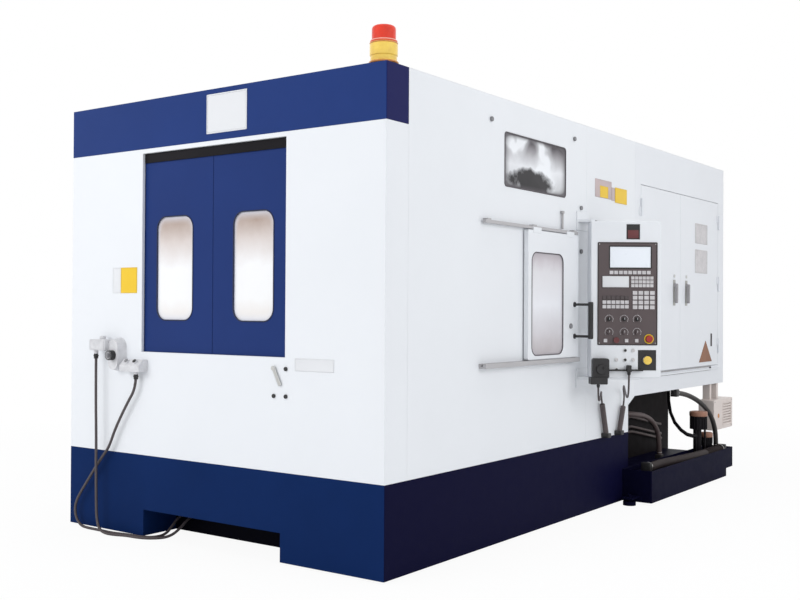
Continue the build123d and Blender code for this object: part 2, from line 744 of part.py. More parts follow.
# Operator door handle: two slim arms and a thick upright grip
handle_y = front + handle_from_front
grip_x = door_x1 + handle_reach
with BuildPart() as operator_handle:
    with Locations((grip_x, handle_y, base + (handle_low + handle_high) / 2)):
        Cylinder(handle_grip_radius, handle_high - handle_low + 2 * handle_grip_radius)
    fillet(operator_handle.edges().filter_by(GeomType.CIRCLE), 6)
    for z in (base + handle_low, base + handle_high):
        with Locations(Location((door_x1, handle_y, z), (0, 90, 0))):
            Cylinder(handle_arm_radius, handle_reach, align=(Align.CENTER, Align.CENTER, Align.MIN))
            Cylinder(handle_arm_radius + 8, 6, align=(Align.CENTER, Align.CENTER, Align.MIN))
operator_handle.part.label = "operator_handle"
export_step(operator_handle.part, "parts/operator_handle.step")

# Table saddle on its ways, rotary table and the pallet clamped on it
table_y = front + table_from_front
pallet_top = base + pallet_height
pallet_bottom = pallet_top - pallet_thickness
saddle_bottom = bed_top + way_height
saddle_top = saddle_bottom + 130
with BuildPart() as table_saddle:
    block(-320, 320, table_y - 300, table_y + 300, saddle_bottom + 4, saddle_top)
    fillet(table_saddle.edges().filter_by(Axis.Z), 30)
    chamfer(table_saddle.faces().sort_by(Axis.Z)[-1].edges(), 8)
    for x in (-table_way_centre, table_way_centre):
        for y in (table_y - 210, table_y + 210):
            block(x - way_width / 2 - 22, x + way_width / 2 + 22, y - 70, y + 70,
                  bed_top + 8, saddle_bottom + 4)
            block(x - way_width / 2 - running_gap, x + way_width / 2 + running_gap, y - 70, y + 70,
                  bed_top + 8, saddle_bottom + running_gap, mode=Mode.SUBTRACT)
table_saddle.part.label = "table_saddle"
export_step(table_saddle.part, "parts/table_saddle.step")

with BuildPart() as rotary_table:
    with BuildSketch(Plane.XZ.offset(-table_y)):
        with BuildLine():
            Polyline(
                (0, saddle_top + running_gap),
                (250, saddle_top + running_gap),
                (250, saddle_top + 60),
                (225, saddle_top + 75),
                (158, saddle_top + 90),
                (140, saddle_top + 120),
                (140, pallet_bottom - 30),
                (150, pallet_bottom - 20),
                (150, pallet_bottom),
                (0, pallet_bottom),
                close=True,
            )
        make_face()
    revolve(axis=Axis((0, table_y, 0), (0, 0, 1)))
rotary_table.part.label = "rotary_table"
export_step(rotary_table.part, "parts/rotary_table.step")


def pallet(name, y, gap):
    """A square pallet with a grid of tapped holes, its edge locators and its underside relief."""
    half = pallet_size / 2
    with BuildPart() as plate:
        block(-half, half, y - half, y + half, pallet_bottom + gap, pallet_top + gap)
        fillet(plate.edges().filter_by(Axis.Z), 24)
        chamfer(plate.faces().sort_by(Axis.Z)[-1].edges(), 3)
        with Locations((0, y, pallet_top + gap)):
            with GridLocations(pallet_pitch, pallet_pitch, 4, 4):
                Hole(pallet_hole_radius, pallet_hole_depth)
            Hole(25, pallet_hole_depth)
        with Locations((0, y, pallet_bottom + gap)):
            Cylinder(120, 24, mode=Mode.SUBTRACT)
        block(-half, -half + 14, y - 60, y + 60, pallet_top - 30 + gap, pallet_top + gap)
    plate.part.label = name
    export_step(plate.part, f"parts/{name}.step")


pallet("pallet_rear", table_y, 0)
pallet("pallet_front", changer_y - changer_radius, 0)

# Pallet changer: a lifting shaft in the bed's boss, and the H-shaped arm with its divider
shaft_top = pallet_bottom - 150
with BuildPart() as changer_shaft:
    with Locations((0, changer_y, bed_top - 100)):
        Cylinder(changer_shaft_radius, shaft_top - bed_top + 100,
                 align=(Align.CENTER, Align.CENTER, Align.MIN))
    with Locations((0, changer_y, shaft_top)):
        Cylinder(60, 60, align=(Align.CENTER, Align.CENTER, Align.MIN))
changer_shaft.part.label = "changer_shaft"
export_step(changer_shaft.part, "parts/changer_shaft.step")

fork_top = pallet_bottom - running_gap
arm_length = changer_radius + pallet_size / 2 - 20
with BuildPart() as pallet_changer:
    with BuildSketch(Plane.XY.offset(fork_top - fork_depth)):
        for x in (-fork_centre, fork_centre):
            with Locations((x, changer_y)):
                SlotOverall(2 * arm_length, fork_width, rotation=90)
        with Locations((0, changer_y)):
            Rectangle(2 * fork_centre, 2 * 150)
    extrude(amount=fork_depth)
    with Locations((0, changer_y, shaft_top + running_gap)):
        Cylinder(changer_boss_radius - 20, fork_top - shaft_top - running_gap,
                 align=(Align.CENTER, Align.CENTER, Align.MIN))
        Cylinder(60 + running_gap, 60, align=(Align.CENTER, Align.CENTER, Align.MIN), mode=Mode.SUBTRACT)
    # divider: a framed panel with a folded foot, right across the station
    block(-divider_width / 2, divider_width / 2, changer_y - divider_thickness / 2,
          changer_y + divider_thickness / 2, fork_top, fork_top + divider_height)
    for direction in (-1, 1):
        with BuildSketch(front_plane(changer_y + direction * divider_thickness / 2)):
            with Locations((-divider_width / 4 + 8, fork_top + divider_height / 2),
                           (divider_width / 4 - 8, fork_top + divider_height / 2)):
                RectangleRounded(divider_width / 2 - 60, divider_height - 120, 30)
        extrude(amount=direction * (divider_thickness / 2 - 4), mode=Mode.SUBTRACT)
pallet_changer.part.label = "pallet_changer"
export_step(pallet_changer.part, "parts/pallet_changer.step")

# Column: two box posts joined at foot and head, with ways on the front
column_bottom = bed_back_top + way_height
column_top = base + column_height
col_front = front + column_front
col_rear = front + column_rear
window_bottom = base + 900
window_top = base + 2160
with BuildPart() as column:
    with BuildSketch(side_plane(-column_half_width)):
        with BuildLine():
            Polyline(
                (col_front, column_bottom + 6),
                (col_rear, column_bottom + 6),
                (col_rear, column_bottom + 260),
                (col_rear - 190, column_top),
                (col_front, column_top),
                close=True,
            )
        make_face()
    extrude(amount=2 * column_half_width)
    with BuildSketch(front_plane(col_front)):
        opening(-column_opening_half, column_opening_half, window_bottom, window_top, 40)
    extrude(amount=-(column_rear - column_front), mode=Mode.SUBTRACT)
    # lightening pockets in the outer walls
    for x, direction in ((-column_half_width, 1), (column_half_width, -1)):
        with BuildSketch(side_plane(x)):
            for z in (window_bottom + 250, window_bottom + 750):
                with Locations(((col_front + col_rear) / 2 - 70, z)):
                    RectangleRounded(360, 340, 60)
        extrude(amount=direction * 60, mode=Mode.SUBTRACT)
    # ways for the spindle head
    for x in (-290, 290):
        block(x - way_width / 2, x + way_width / 2, col_front - 30, col_front,
              window_bottom - 20, column_top - 40)
    # runner blocks on the bed's ways
    for x in (-310, 310):
        for y in (front + column_way_front, front + column_way_rear):
            block(x - 80, x + 80, y - way_width / 2 - 22, y + way_width / 2 + 22,
                  bed_back_top + 8, column_bottom + 6)
            block(x - 80, x + 80, y - way_width / 2 - running_gap, y + way_width / 2 + running_gap,
                  bed_back_top + 8, column_bottom + running_gap, mode=Mode.SUBTRACT)
column.part.label = "column"
export_step(column.part, "parts/column.step")

# Spindle head: a saddle plate on the column's ways, the body through the opening and the nose
spindle_z = base + spindle_height
nose_y = front + spindle_nose_from_front
head_front = nose_y + 130
plate_front = col_front - 110
with BuildPart() as headstock:
    with BuildSketch(front_plane(head_front)):
        with Locations((0, spindle_z)):
            Rectangle(2 * head_half_width, 2 * head_half_height)
        chamfer(vertices(), 36)
    extrude(amount=-700)
    with Locations((0, (plate_front + col_front - 40) / 2, spindle_z)):
        Box(720, col_front - 40 - plate_front, 440)
    for x in (-290, 290):
        for z in (spindle_z - 150, spindle_z + 150):
            block(x - way_width / 2 - 22, x + way_width / 2 + 22, col_front - 40, col_front - 8,
                  z - 60, z + 60)
            block(x - way_width / 2 - running_gap, x + way_width / 2 + running_gap, col_front - 30 - running_gap,
                  col_front - 8, z - 60, z + 60, mode=Mode.SUBTRACT)
    with Locations(Location((0, head_front, spindle_z), (90, 0, 0))):
        Cone(130, 100, 110, align=(Align.CENTER, Align.CENTER, Align.MIN))
        Hole(spindle_radius + spindle_clearance, 400)
    with Locations(Location((0, head_front - 120, spindle_z), (-90, 0, 0))):
        Cylinder(spindle_radius + spindle_clearance, 420, align=(Align.CENTER, Align.CENTER, Align.MIN),
                 mode=Mode.SUBTRACT)
headstock.part.label = "headstock"
export_step(headstock.part, "parts/headstock.step")

# Spindle: a hollow shaft with a flanged nose, drive keys and a 7:24 taper
taper_mouth = 22.2
taper_depth = 65.0
with BuildPart() as spindle:
    with BuildSketch(side_plane(0)):
        with BuildLine():
            Polyline(
                (nose_y, spindle_z + taper_mouth),
                (nose_y, spindle_z + 64),
                (nose_y + 18, spindle_z + 64),
                (nose_y + 18, spindle_z + spindle_radius),
                (nose_y + 400, spindle_z + spindle_radius),
                (nose_y + 400, spindle_z + 12),
                (nose_y + taper_depth, spindle_z + 12),
                (nose_y + taper_depth, spindle_z + taper_mouth - taper_depth * 7 / 48),
                close=True,
            )
        make_face()
    revolve(axis=Axis((0, nose_y, spindle_z), (0, 1, 0)))
    for z in (spindle_z - 40, spindle_z + 40):
        block(-8, 8, nose_y - 6, nose_y, z - 14, z + 14)
spindle.part.label = "spindle"
export_step(spindle.part, "parts/spindle.step")

# Tool magazine: a bored drum facing forward, on a shaft in the frame behind it
magazine_x = side - magazine_from_side
magazine_y = front + magazine_from_front
magazine_z = base + magazine_height
frame_y = magazine_y + 150
flange_thickness = 18.0
drum_length = 70.0
with BuildPart() as tool_magazine:
    with BuildSketch(front_plane(magazine_y)):
        with Locations((magazine_x, magazine_z)):
            Circle(magazine_radius)
    extrude(amount=-flange_thickness)
    with BuildSketch(front_plane(magazine_y + flange_thickness)):
        with Locations((magazine_x, magazine_z)):
            Circle(pot_circle_radius + pot_radius)
    extrude(amount=-drum_length)
    with BuildSketch(front_plane(magazine_y)):
        with Locations((magazine_x, magazine_z)):
            with PolarLocations(pot_circle_radius, pot_count, start_angle=change_pot_angle):
                Circle(pot_radius - 8)
    extrude(amount=-(flange_thickness + drum_length), mode=Mode.SUBTRACT)
    with BuildSketch(front_plane(magazine_y + flange_thickness)):
        with Locations((magazine_x, magazine_z)):
            Circle(magazine_shaft_radius)
    extrude(amount=-190)
tool_magazine.part.label = "tool_magazine"
export_step(tool_magazine.part, "parts/tool_magazine.step")

# Tools stored in the pots: taper shank, gripper flange and a plain cutter
with BuildPart() as stored_tools:
    for place in range(2, pot_count - 3, 2):
        angle = radians(change_pot_angle + place * 360 / pot_count)
        tool_x = magazine_x + pot_circle_radius * cos(angle)
        tool_z = magazine_z + pot_circle_radius * sin(angle)
        cutter_radius = 7 + 3 * (place % 5)
        cutter_length = 80 + 12 * (place % 4)
        with BuildSketch(side_plane(tool_x)):
            with BuildLine():
                Polyline(
                    (magazine_y + 60, tool_z),
                    (magazine_y + 60, tool_z + pot_radius - 16),
                    (magazine_y - 1, tool_z + pot_radius - 8.3),
                    (magazine_y - 1, tool_z + 31),
                    (magazine_y - 20, tool_z + 31),
                    (magazine_y - 20, tool_z + 20),
                    (magazine_y - 45, tool_z + 17),
                    (magazine_y - 45, tool_z + cutter_radius),
                    (magazine_y - 45 - cutter_length, tool_z + cutter_radius),
                    (magazine_y - 45 - cutter_length, tool_z),
                    close=True,
                )
            make_face()
        revolve(axis=Axis((tool_x, magazine_y, tool_z), (0, 1, 0)))
stored_tools.part.label = "stored_tools"
export_step(stored_tools.part, "parts/stored_tools.step")

# Magazine frame: a plate from the side panel inwards, with the drive box of the change arm
pot_z = magazine_z + pot_circle_radius * sin(radians(change_pot_angle))
pot_x = magazine_x + pot_circle_radius * cos(radians(change_pot_angle))
change_x = (column_travel + pot_x) / 2
arm_half = (pot_x - column_travel) / 2
arm_y = front + change_arm_plane
box_left = change_x - 32
with BuildPart() as magazine_frame:
    with BuildSketch(front_plane(frame_y)):
        with BuildLine():
            Polyline(
                (box_left, pot_z - 90),
                (box_left + 200, pot_z - 90),
                (side - flange - 2, magazine_z - 120),
                (side - flange - 2, top - flange),
                (side - 320, top - flange),
                (box_left, pot_z + 110),
                close=True,
            )
        make_face()
        with Locations((magazine_x, magazine_z)):
            Circle(magazine_shaft_radius + running_gap, mode=Mode.SUBTRACT)
    extrude(amount=-24)
    block(box_left, box_left + 102, arm_y + 50, frame_y, pot_z - 90, pot_z + 90)
    fillet(magazine_frame.edges().filter_by(Axis.X).group_by(Axis.Y)[0], 14)
    block(side - flange - 2 - 60, side - flange - 2, frame_y, frame_y + 140, magazine_z - 60, top - flange)
    with Locations(Location((change_x, arm_y + 50, pot_z), (-90, 0, 0))):
        Cylinder(22 + running_gap, 60, align=(Align.CENTER, Align.CENTER, Align.MIN), mode=Mode.SUBTRACT)
magazine_frame.part.label = "magazine_frame"
export_step(magazine_frame.part, "parts/magazine_frame.step")

# Tool change arm, parked upright: a tapered double arm with a half-round gripper at each end
with BuildPart() as tool_change_arm:
    with BuildSketch(front_plane(arm_y)):
        with Locations((change_x, pot_z)):
            Circle(46)
            for direction in (-1, 1):
                with Locations((0, direction * arm_half / 2)):
                    Rectangle(50, arm_half)
                with Locations((0, direction * arm_half)):
                    Circle(44)
        for direction in (-1, 1):
            with Locations((change_x, pot_z + direction * arm_half)):
                Circle(31.5, mode=Mode.SUBTRACT)
            with Locations((change_x + direction * 30, pot_z + direction * arm_half)):
                Rectangle(60, 58, mode=Mode.SUBTRACT)
    extrude(amount=-20)
    with Locations(Location((change_x, arm_y + 20, pot_z), (-90, 0, 0))):
        Cylinder(40, 30 - running_gap, align=(Align.CENTER, Align.CENTER, Align.MIN))
        Cylinder(22, 80, align=(Align.CENTER, Align.CENTER, Align.MIN))
tool_change_arm.part.label = "tool_change_arm"
export_step(tool_change_arm.part, "parts/tool_change_arm.step")

# Console frame of reference: local x runs to the console's right, z_dir is out of its face
swing = radians(console_swing_out)
console_right = Vector(sin(swing), cos(swing), 0)
console_out = Vector(cos(swing), -sin(swing), 0)
hinge_x = side + console_hinge_from_side
hinge_y = front + console_hinge_from_front
hinge_foot = Vector(hinge_x, hinge_y, 0)
face_corner = hinge_foot - console_right * console_hinge_inset + console_out * console_hinge_behind


def console_plane(proud):
    """A plane that far in front of the console's face; local (0, 0) is its left edge on the floor."""
    return Plane(origin=face_corner + console_out * proud, x_dir=console_right, z_dir=console_out)


panel_left = 42.0
panel_right = 413.0
panel_sill = base + 1092.0
panel_head = base + 1731.0
panel_depth = 5.0
screen_box = (116.0, 374.0, base + 1573.0, base + 1707.0)
console_bottom = base + console_sill
console_top = console_bottom + console_height
pivot_radius = console_pin_radius
plug_place = (234.0, base + 925.0)
plug_reach = 22.0
stop_place = (362.0, base + 1129.0)
stop_stem_radius = 5.0
stop_travel = 6.0
switch_places = [
    (159, base + 998),
    (213, base + 998),
    (264, base + 998),
    (213, base + 1057),
    (264, base + 1057),
    (159, base + 937),
]
with BuildPart() as console_housing:
    with BuildSketch(console_plane(0)):
        opening(0, console_width, console_bottom, console_top, 14)
    extrude(amount=-console_thickness)
    fillet(console_housing.faces().sort_by(Axis(tuple(face_corner), tuple(console_out)))[-1].edges(), 5)
    with BuildSketch(console_plane(0)):
        opening(panel_left, panel_right, panel_sill, panel_head, 4, grow=running_gap)
        opening(294, 408, base + 932, base + 1060)
        opening(220, 305, base + 1751, base + 1847)
    extrude(amount=-panel_depth, mode=Mode.SUBTRACT)
    with Locations((hinge_x, hinge_y, console_bottom), (hinge_x, hinge_y, console_top)):
        Cylinder(pivot_radius + running_gap, 80, mode=Mode.SUBTRACT)
    with BuildSketch(console_plane(-panel_depth)):
        with Locations(stop_place):
            Circle(stop_stem_radius + running_gap)
    extrude(amount=-stop_travel, mode=Mode.SUBTRACT)
    # elbow plug of the console cable, and the plain round switches beside it
    with BuildSketch(console_plane(0)):
        opening(plug_place[0] - 13, plug_place[0] + 13, plug_place[1], plug_place[1] + 38, 5)
    extrude(amount=plug_reach + 14)
    with BuildSketch(console_plane(0)):
        with Locations(*switch_places):
            Circle(9)
    extrude(amount=9)
    with BuildSketch(console_plane(-panel_depth)):
        with Locations((351, base + 996)):
            Circle(26)
    extrude(amount=panel_depth + 10)
    # shelf bar under the housing
    with BuildSketch(console_plane(-8)):
        opening(89, 308, console_bottom - 12, console_bottom)
    extrude(amount=-90)
console_housing.part.label = "console_housing"
export_step(console_housing.part, "parts/console_housing.step")

# Console panel: a dark plate with raised keys, key blocks and the plain switches fused on it
knob_columns = (113.0, 207.0, 288.0)
knob_rows = (base + 1252.0, base + 1171.0)
with BuildPart() as console_panel:
    with BuildSketch(console_plane(-panel_depth)):
        opening(panel_left, panel_right, panel_sill, panel_head, 4)
    extrude(amount=panel_depth + 1)
    with BuildSketch(console_plane(1)):
        opening(*screen_box, 4)
    extrude(amount=-4, mode=Mode.SUBTRACT)
    # soft keys under the screen, membrane keypad, and the machine keys in their grids
    with BuildSketch(console_plane(1)):
        with Locations((243, base + 1544)):
            with GridLocations(29, 30, 9, 1):
                Rectangle(22, 20)
        opening(68, 400, base + 1448, base + 1524, 4)
        with Locations((153, base + 1358)):
            with GridLocations(28, 28, 6, 3):
                Rectangle(22, 20)
        with Locations((328, base + 1372)):
            with GridLocations(36, 30, 4, 4):
                Rectangle(26, 22)
    extrude(amount=3)
    # plain selector knobs that stay fixed to the plate
    with BuildSketch(console_plane(1)):
        with Locations(*[(x, knob_rows[1]) for x in knob_columns]):
            Circle(knob_radius)
    extrude(amount=knob_height, taper=4)
    with BuildSketch(console_plane(1)):
        with Locations((157, base + 1121)):
            Circle(15)
    extrude(amount=12)
    # bores for the three turning knobs and the stop button
    with BuildSketch(console_plane(1)):
        with Locations(*[(x, knob_rows[0]) for x in knob_columns]):
            Circle(5 + running_gap)
    extrude(amount=-4, mode=Mode.SUBTRACT)
    with BuildSketch(console_plane(1)):
        with Locations(stop_place):
            Circle(stop_stem_radius + running_gap)
    extrude(amount=-(panel_depth + 1), mode=Mode.SUBTRACT)
console_panel.part.label = "console_panel"
export_step(console_panel.part, "parts/console_panel.step")

with BuildPart() as console_screen:
    with BuildSketch(console_plane(-3)):
        opening(*screen_box, 4, grow=-running_gap)
    extrude(amount=3.4)
console_screen.part.label = "console_screen"
export_step(console_screen.part, "parts/console_screen.step")


def knob(name, place):
    """A fluted rotary knob with its pointer ridge and a short spindle in the panel."""
    with BuildPart() as body:
        with BuildSketch(console_plane(1 + running_gap)):
            with Locations(place):
                Circle(knob_radius)
        extrude(amount=knob_height - 6, taper=3)
        with BuildSketch(console_plane(1 + running_gap)):
            with Locations(place):
                SlotOverall(2 * knob_radius, 7, rotation=90)
        extrude(amount=knob_height)
        with BuildSketch(console_plane(1 + running_gap)):
            with Locations(place):
                Circle(5)
        extrude(amount=-4)
    body.part.label = name
    export_step(body.part, f"parts/{name}.step")


knob("feed_knob", (knob_columns[0], knob_rows[0]))
knob("spindle_knob", (knob_columns[1], knob_rows[0]))
knob("mode_knob", (knob_columns[2], knob_rows[0]))

# Stop button: a mushroom head that stands off the panel by its travel
with BuildPart() as e_stop_button:
    with BuildSketch(console_plane(1 + stop_travel + running_gap)):
        with Locations(stop_place):
            Circle(22)
    extrude(amount=14)
    fillet(e_stop_button.edges().filter_by(GeomType.CIRCLE).sort_by(
        Axis(tuple(face_corner), tuple(console_out)))[-1], 7)
    with BuildSketch(console_plane(1 + stop_travel + running_gap)):
        with Locations(stop_place):
            Circle(stop_stem_radius)
    extrude(amount=-(stop_travel + 2))
e_stop_button.part.label = "e_stop_button"
export_step(e_stop_button.part, "parts/e_stop_button.step")

# Handwheel pendant on its holder at the console's lower left
pendant_left = 4.0
pendant_right = 104.0
pendant_sill = base + 884.0
pendant_head = base + 1008.0
dial_place = ((pendant_left + pendant_right) / 2, pendant_sill + 56)
pendant_front = 62.0
with BuildPart() as handwheel_pendant:
    with BuildSketch(console_plane(running_gap)):
        opening(pendant_left, pendant_right, pendant_sill, pendant_head, 14)
    extrude(amount=pendant_front - running_gap)
    with BuildSketch(console_plane(running_gap)):
        opening(-14, pendant_right - 12, base + 848, pendant_sill + 6, 6)
    extrude(amount=pendant_front + 14)
    with BuildSketch(console_plane(pendant_front)):
        with Locations(dial_place):
            Circle(6 + running_gap)
    extrude(amount=-20, mode=Mode.SUBTRACT)
handwheel_pendant.part.label = "handwheel_pendant"
export_step(handwheel_pendant.part, "parts/handwheel_pendant.step")

with BuildPart() as handwheel_dial:
    with BuildSketch(console_plane(pendant_front + running_gap)):
        with Locations(dial_place):
            Circle(handwheel_radius)
    extrude(amount=12)
    fillet(handwheel_dial.edges().filter_by(GeomType.CIRCLE).sort_by(
        Axis(tuple(face_corner), tuple(console_out)))[-1], 3)
    with BuildSketch(console_plane(pendant_front + running_gap + 12)):
        with Locations((dial_place[0] + 16, dial_place[1] + 10)):
            Circle(5)
    extrude(amount=16)
    with BuildSketch(console_plane(pendant_front + running_gap)):
        with Locations(dial_place):
            Circle(6)
    extrude(amount=-18)
handwheel_dial.part.label = "handwheel_dial"
export_step(handwheel_dial.part, "parts/handwheel_dial.step")

# Console brackets: an arm from the side panel over and under the housing, each with its pivot pin
with BuildPart() as console_brackets:
    for z0, z1, pin in ((console_top + running_gap, console_top + 18, -1),
                        (console_bottom - 18, console_bottom - running_gap, 1)):
        with BuildSketch(Plane.XY.offset(z0)):
            with BuildLine():
                Polyline(
                    (side + 6, hinge_y - 46),
                    (hinge_x + 8, hinge_y - 26),
                    (hinge_x + 26, hinge_y),
                    (hinge_x + 8, hinge_y + 26),
                    (side + 6, hinge_y + 110),
                    close=True,
                )
            make_face()
            fillet(vertices().group_by(Axis.X)[-1], 16)
        extrude(amount=z1 - z0)
        block(side, side + 6, hinge_y - 60, hinge_y + 120, (z0 + z1) / 2 - 60, (z0 + z1) / 2 + 60)
        mid = z0 if pin < 0 else z1
        with Locations((hinge_x, hinge_y, mid + pin * 19)):
            Cylinder(pivot_radius, 38)
console_brackets.part.label = "console_brackets"
export_step(console_brackets.part, "parts/console_brackets.step")

# Signal light on the header's corner
light_x = side - light_from_side
light_y = front + light_from_front
with BuildPart() as signal_light_base:
    with Locations((light_x, light_y, top)):
        Cylinder(light_radius + 8, 10, align=(Align.CENTER, Align.CENTER, Align.MIN))
        Cylinder(light_radius, 50, align=(Align.CENTER, Align.CENTER, Align.MIN))
signal_light_base.part.label = "signal_light_base"
export_step(signal_light_base.part, "parts/signal_light_base.step")

with BuildPart() as signal_light_amber:
    with Locations((light_x, light_y, top + 50)):
        Cylinder(light_radius + 4, 62, align=(Align.CENTER, Align.CENTER, Align.MIN))
    fillet(signal_light_amber.edges().filter_by(GeomType.CIRCLE), 6)
signal_light_amber.part.label = "signal_light_amber"
export_step(signal_light_amber.part, "parts/signal_light_amber.step")

with BuildPart() as signal_light_red:
    with Locations((light_x, light_y, top + 112)):
        Cylinder(light_radius + 2, 12, align=(Align.CENTER, Align.CENTER, Align.MIN))
        Cylinder(light_radius - 6, 90, align=(Align.CENTER, Align.CENTER, Align.MIN))
    fillet(signal_light_red.edges().filter_by(GeomType.CIRCLE).group_by(Axis.Z)[-1], 18)
signal_light_red.part.label = "signal_light_red"
export_step(signal_light_red.part, "parts/signal_light_red.step")

# Front left: junction box, round gun socket and push-button box, each with its cable entry
junction_x = -842.0
junction_z = base + 1088.0
junction_width = 140.0
junction_height = 66.0
junction_depth = 86.0
socket_x = -734.0
socket_z = base + 1034.0
socket_depth = 58.0
nozzle_radius = 27.0
cable_a_y = front - 60
entry_length = 20.0
button_x0 = -666.0
button_x1 = -500.0
button_z0 = base + 940.0
button_depth = 64.0
button_radius = 13.0
cable_b_y = front - 34
cable_b_entry = 15.0
with BuildPart() as service_boxes:
    with BuildSketch(front_plane(front)):
        with Locations((junction_x, junction_z)):
            RectangleRounded(junction_width, junction_height, 8)
    extrude(amount=junction_depth)
    fillet(service_boxes.faces().sort_by(Axis.Y)[0].edges(), 4)
    with Locations((cable_a_x, cable_a_y, junction_z - junction_height / 2)):
        Cylinder(14, entry_length, align=(Align.CENTER, Align.CENTER, Align.MAX))
    with BuildSketch(front_plane(front)):
        with Locations((socket_x, socket_z)):
            SlotOverall(196, 104, rotation=90)
    extrude(amount=socket_depth, taper=10)
    with Locations(Location((socket_x, front - 46, socket_z - 4), (90, 0, 0))):
        Cylinder(nozzle_radius, 46, align=(Align.CENTER, Align.CENTER, Align.MIN))
        Cylinder(nozzle_radius - 8, 60, mode=Mode.SUBTRACT, align=(Align.CENTER, Align.CENTER, Align.MIN))
    with BuildSketch(side_plane(button_x0)):
        with BuildLine():
            Polyline(
                (front, button_z0),
                (front - button_depth, button_z0),
                (front - button_depth, button_z0 + 36),
                (front - 30, button_z0 + 70),
                (front, button_z0 + 70),
                close=True,
            )
        make_face()
    extrude(amount=button_x1 - button_x0)
    slope = Plane(origin=((button_x0 + button_x1) / 2, front - 47, button_z0 + 53),
                  x_dir=(1, 0, 0), z_dir=(0, -1, 1))
    with BuildSketch(slope):
        with Locations((-36, 0), (36, 0)):
            Circle(button_radius)
    extrude(amount=12)
    with Locations((cable_b_x, cable_b_y, button_z0)):
        Cylinder(13, cable_b_entry, align=(Align.CENTER, Align.CENTER, Align.MAX))
service_boxes.part.label = "service_boxes"
export_step(service_boxes.part, "parts/service_boxes.step")

# Coolant tank: a stepped sheet tank with a tray on top, proud of the side under the rear
tank_x1 = side + tank_proud
tank_y0 = front + tank_front
tank_y1 = front + tank_rear
tray_y1 = front + tray_rear
tank_top = base + tank_step_height + tray_height - 50
lid_z = tank_top - 40
with BuildPart() as coolant_tank:
    with BuildSketch(side_plane(side + 1.0)):
        with BuildLine():
            Polyline(
                (tank_y0, base),
                (tank_y1, base),
                (tank_y1, base + tank_step_height),
                (tray_y1, base + tank_step_height),
                (tray_y1, tank_top),
                (tank_y0, tank_top),
                close=True,
            )
        make_face()
    extrude(amount=tank_proud - 1.0)
    fillet(coolant_tank.edges().filter_by(Axis.Z).group_by(Axis.X)[-1], 6)
    block(side + 1.0 + tank_wall, tank_x1 - tank_wall, tank_y0 + tank_wall, tray_y1 - tank_wall,
          lid_z, tank_top, mode=Mode.SUBTRACT)
    # the part under the machine, behind the plinth's end
    block(bed_rear_width / 2 + 2, side + 1.0, front + plinth_side_length + 6, tank_y1, base, lid_z)
    # ears for its own levelling feet
    for y, reach in ((tank_y0, -1), (tank_y1, 1)):
        y0, y1 = sorted((y, y + reach * 120))
        block(side + 45, side + 125, y0, y1, base + 30, base + 42)
        with Locations((side + 85, y + reach * 76, 0)):
            Cylinder(foot_radius, 26, align=(Align.CENTER, Align.CENTER, Align.MIN))
            Cylinder(14, base + 60, align=(Align.CENTER, Align.CENTER, Align.MIN))
coolant_tank.part.label = "coolant_tank"
export_step(coolant_tank.part, "parts/coolant_tank.step")

# Coolant pumps: immersion pumps with ribbed motors on the tank's lid
pump_x = side + 80.0
pump_places = (
    (front + 4005, pump_radius, 210, 100),
    (front + 4185, pump_small_radius, 60, 70),
)
with BuildPart() as coolant_pumps:
    for y, radius, stand, motor in pump_places:
        x = pump_x
        foot_z = lid_z + stand
        with Locations((x, y, lid_z)):
            Cylinder(radius, 12, align=(Align.CENTER, Align.CENTER, Align.MIN))
            Cylinder(radius * 0.35, stand + 5, align=(Align.CENTER, Align.CENTER, Align.MIN))
        with Locations((x, y, lid_z)):
            with PolarLocations(radius * 0.75, 3, start_angle=30):
                Cylinder(8, stand + 5, align=(Align.CENTER, Align.CENTER, Align.MIN))
        with BuildSketch(Plane.XY.offset(foot_z)):
            with Locations((x, y)):
                Circle(radius - 7)
                with PolarLocations(radius - 7, 18):
                    Rectangle(14, 4)
        extrude(amount=motor)
        with Locations((x, y, foot_z + motor)):
            Cylinder(radius, 34, align=(Align.CENTER, Align.CENTER, Align.MIN))
        with Locations((x, y + radius, foot_z + motor * 0.6)):
            Box(50, 44, 56)
coolant_pumps.part.label = "coolant_pumps"
export_step(coolant_pumps.part, "parts/coolant_pumps.step")

# Oil cooler: a sheet case hung on two straps under the rear of the cabinet
cooler_y0 = front + 4530
cooler_y1 = back + 180
cooler_z0 = base + 320
cooler_z1 = base + 570
cooler_x1 = side + 20
with BuildPart() as oil_cooler:
    block(cooler_x1 - cooler_depth, cooler_x1, cooler_y0, cooler_y1, cooler_z0, cooler_z1)
    fillet(oil_cooler.edges().filter_by(Axis.X), 8)
    fillet(oil_cooler.faces().sort_by(Axis.X)[-1].edges(), 3)
    with BuildSketch(side_plane(cooler_x1)):
        with Locations(((cooler_y0 + cooler_y1) / 2 + 90, (cooler_z0 + cooler_z1) / 2)):
            with GridLocations(1, 22, 1, 8):
                Rectangle(190, 8)
    extrude(amount=-12, mode=Mode.SUBTRACT)
    for y in (cooler_y0 + 60, front + depth - 60):
        block(cooler_x1 - 110, cooler_x1 - 50, y - 20, y + 20, cooler_z1 - 6, rear_skirt)
oil_cooler.part.label = "oil_cooler"
export_step(oil_cooler.part, "parts/oil_cooler.step")


def bend_radii(points):
    """The bend radius at each inner point: nearly as large as its two runs allow."""
    radii = []
    for before, here, after in zip(points, points[1:], points[2:]):
        first = Vector(here) - Vector(before)
        second = Vector(after) - Vector(here)
        half_turn = radians(first.get_angle(second)) / 2
        radii.append(0.45 * min(first.length, second.length) / tan(half_turn))
    return radii


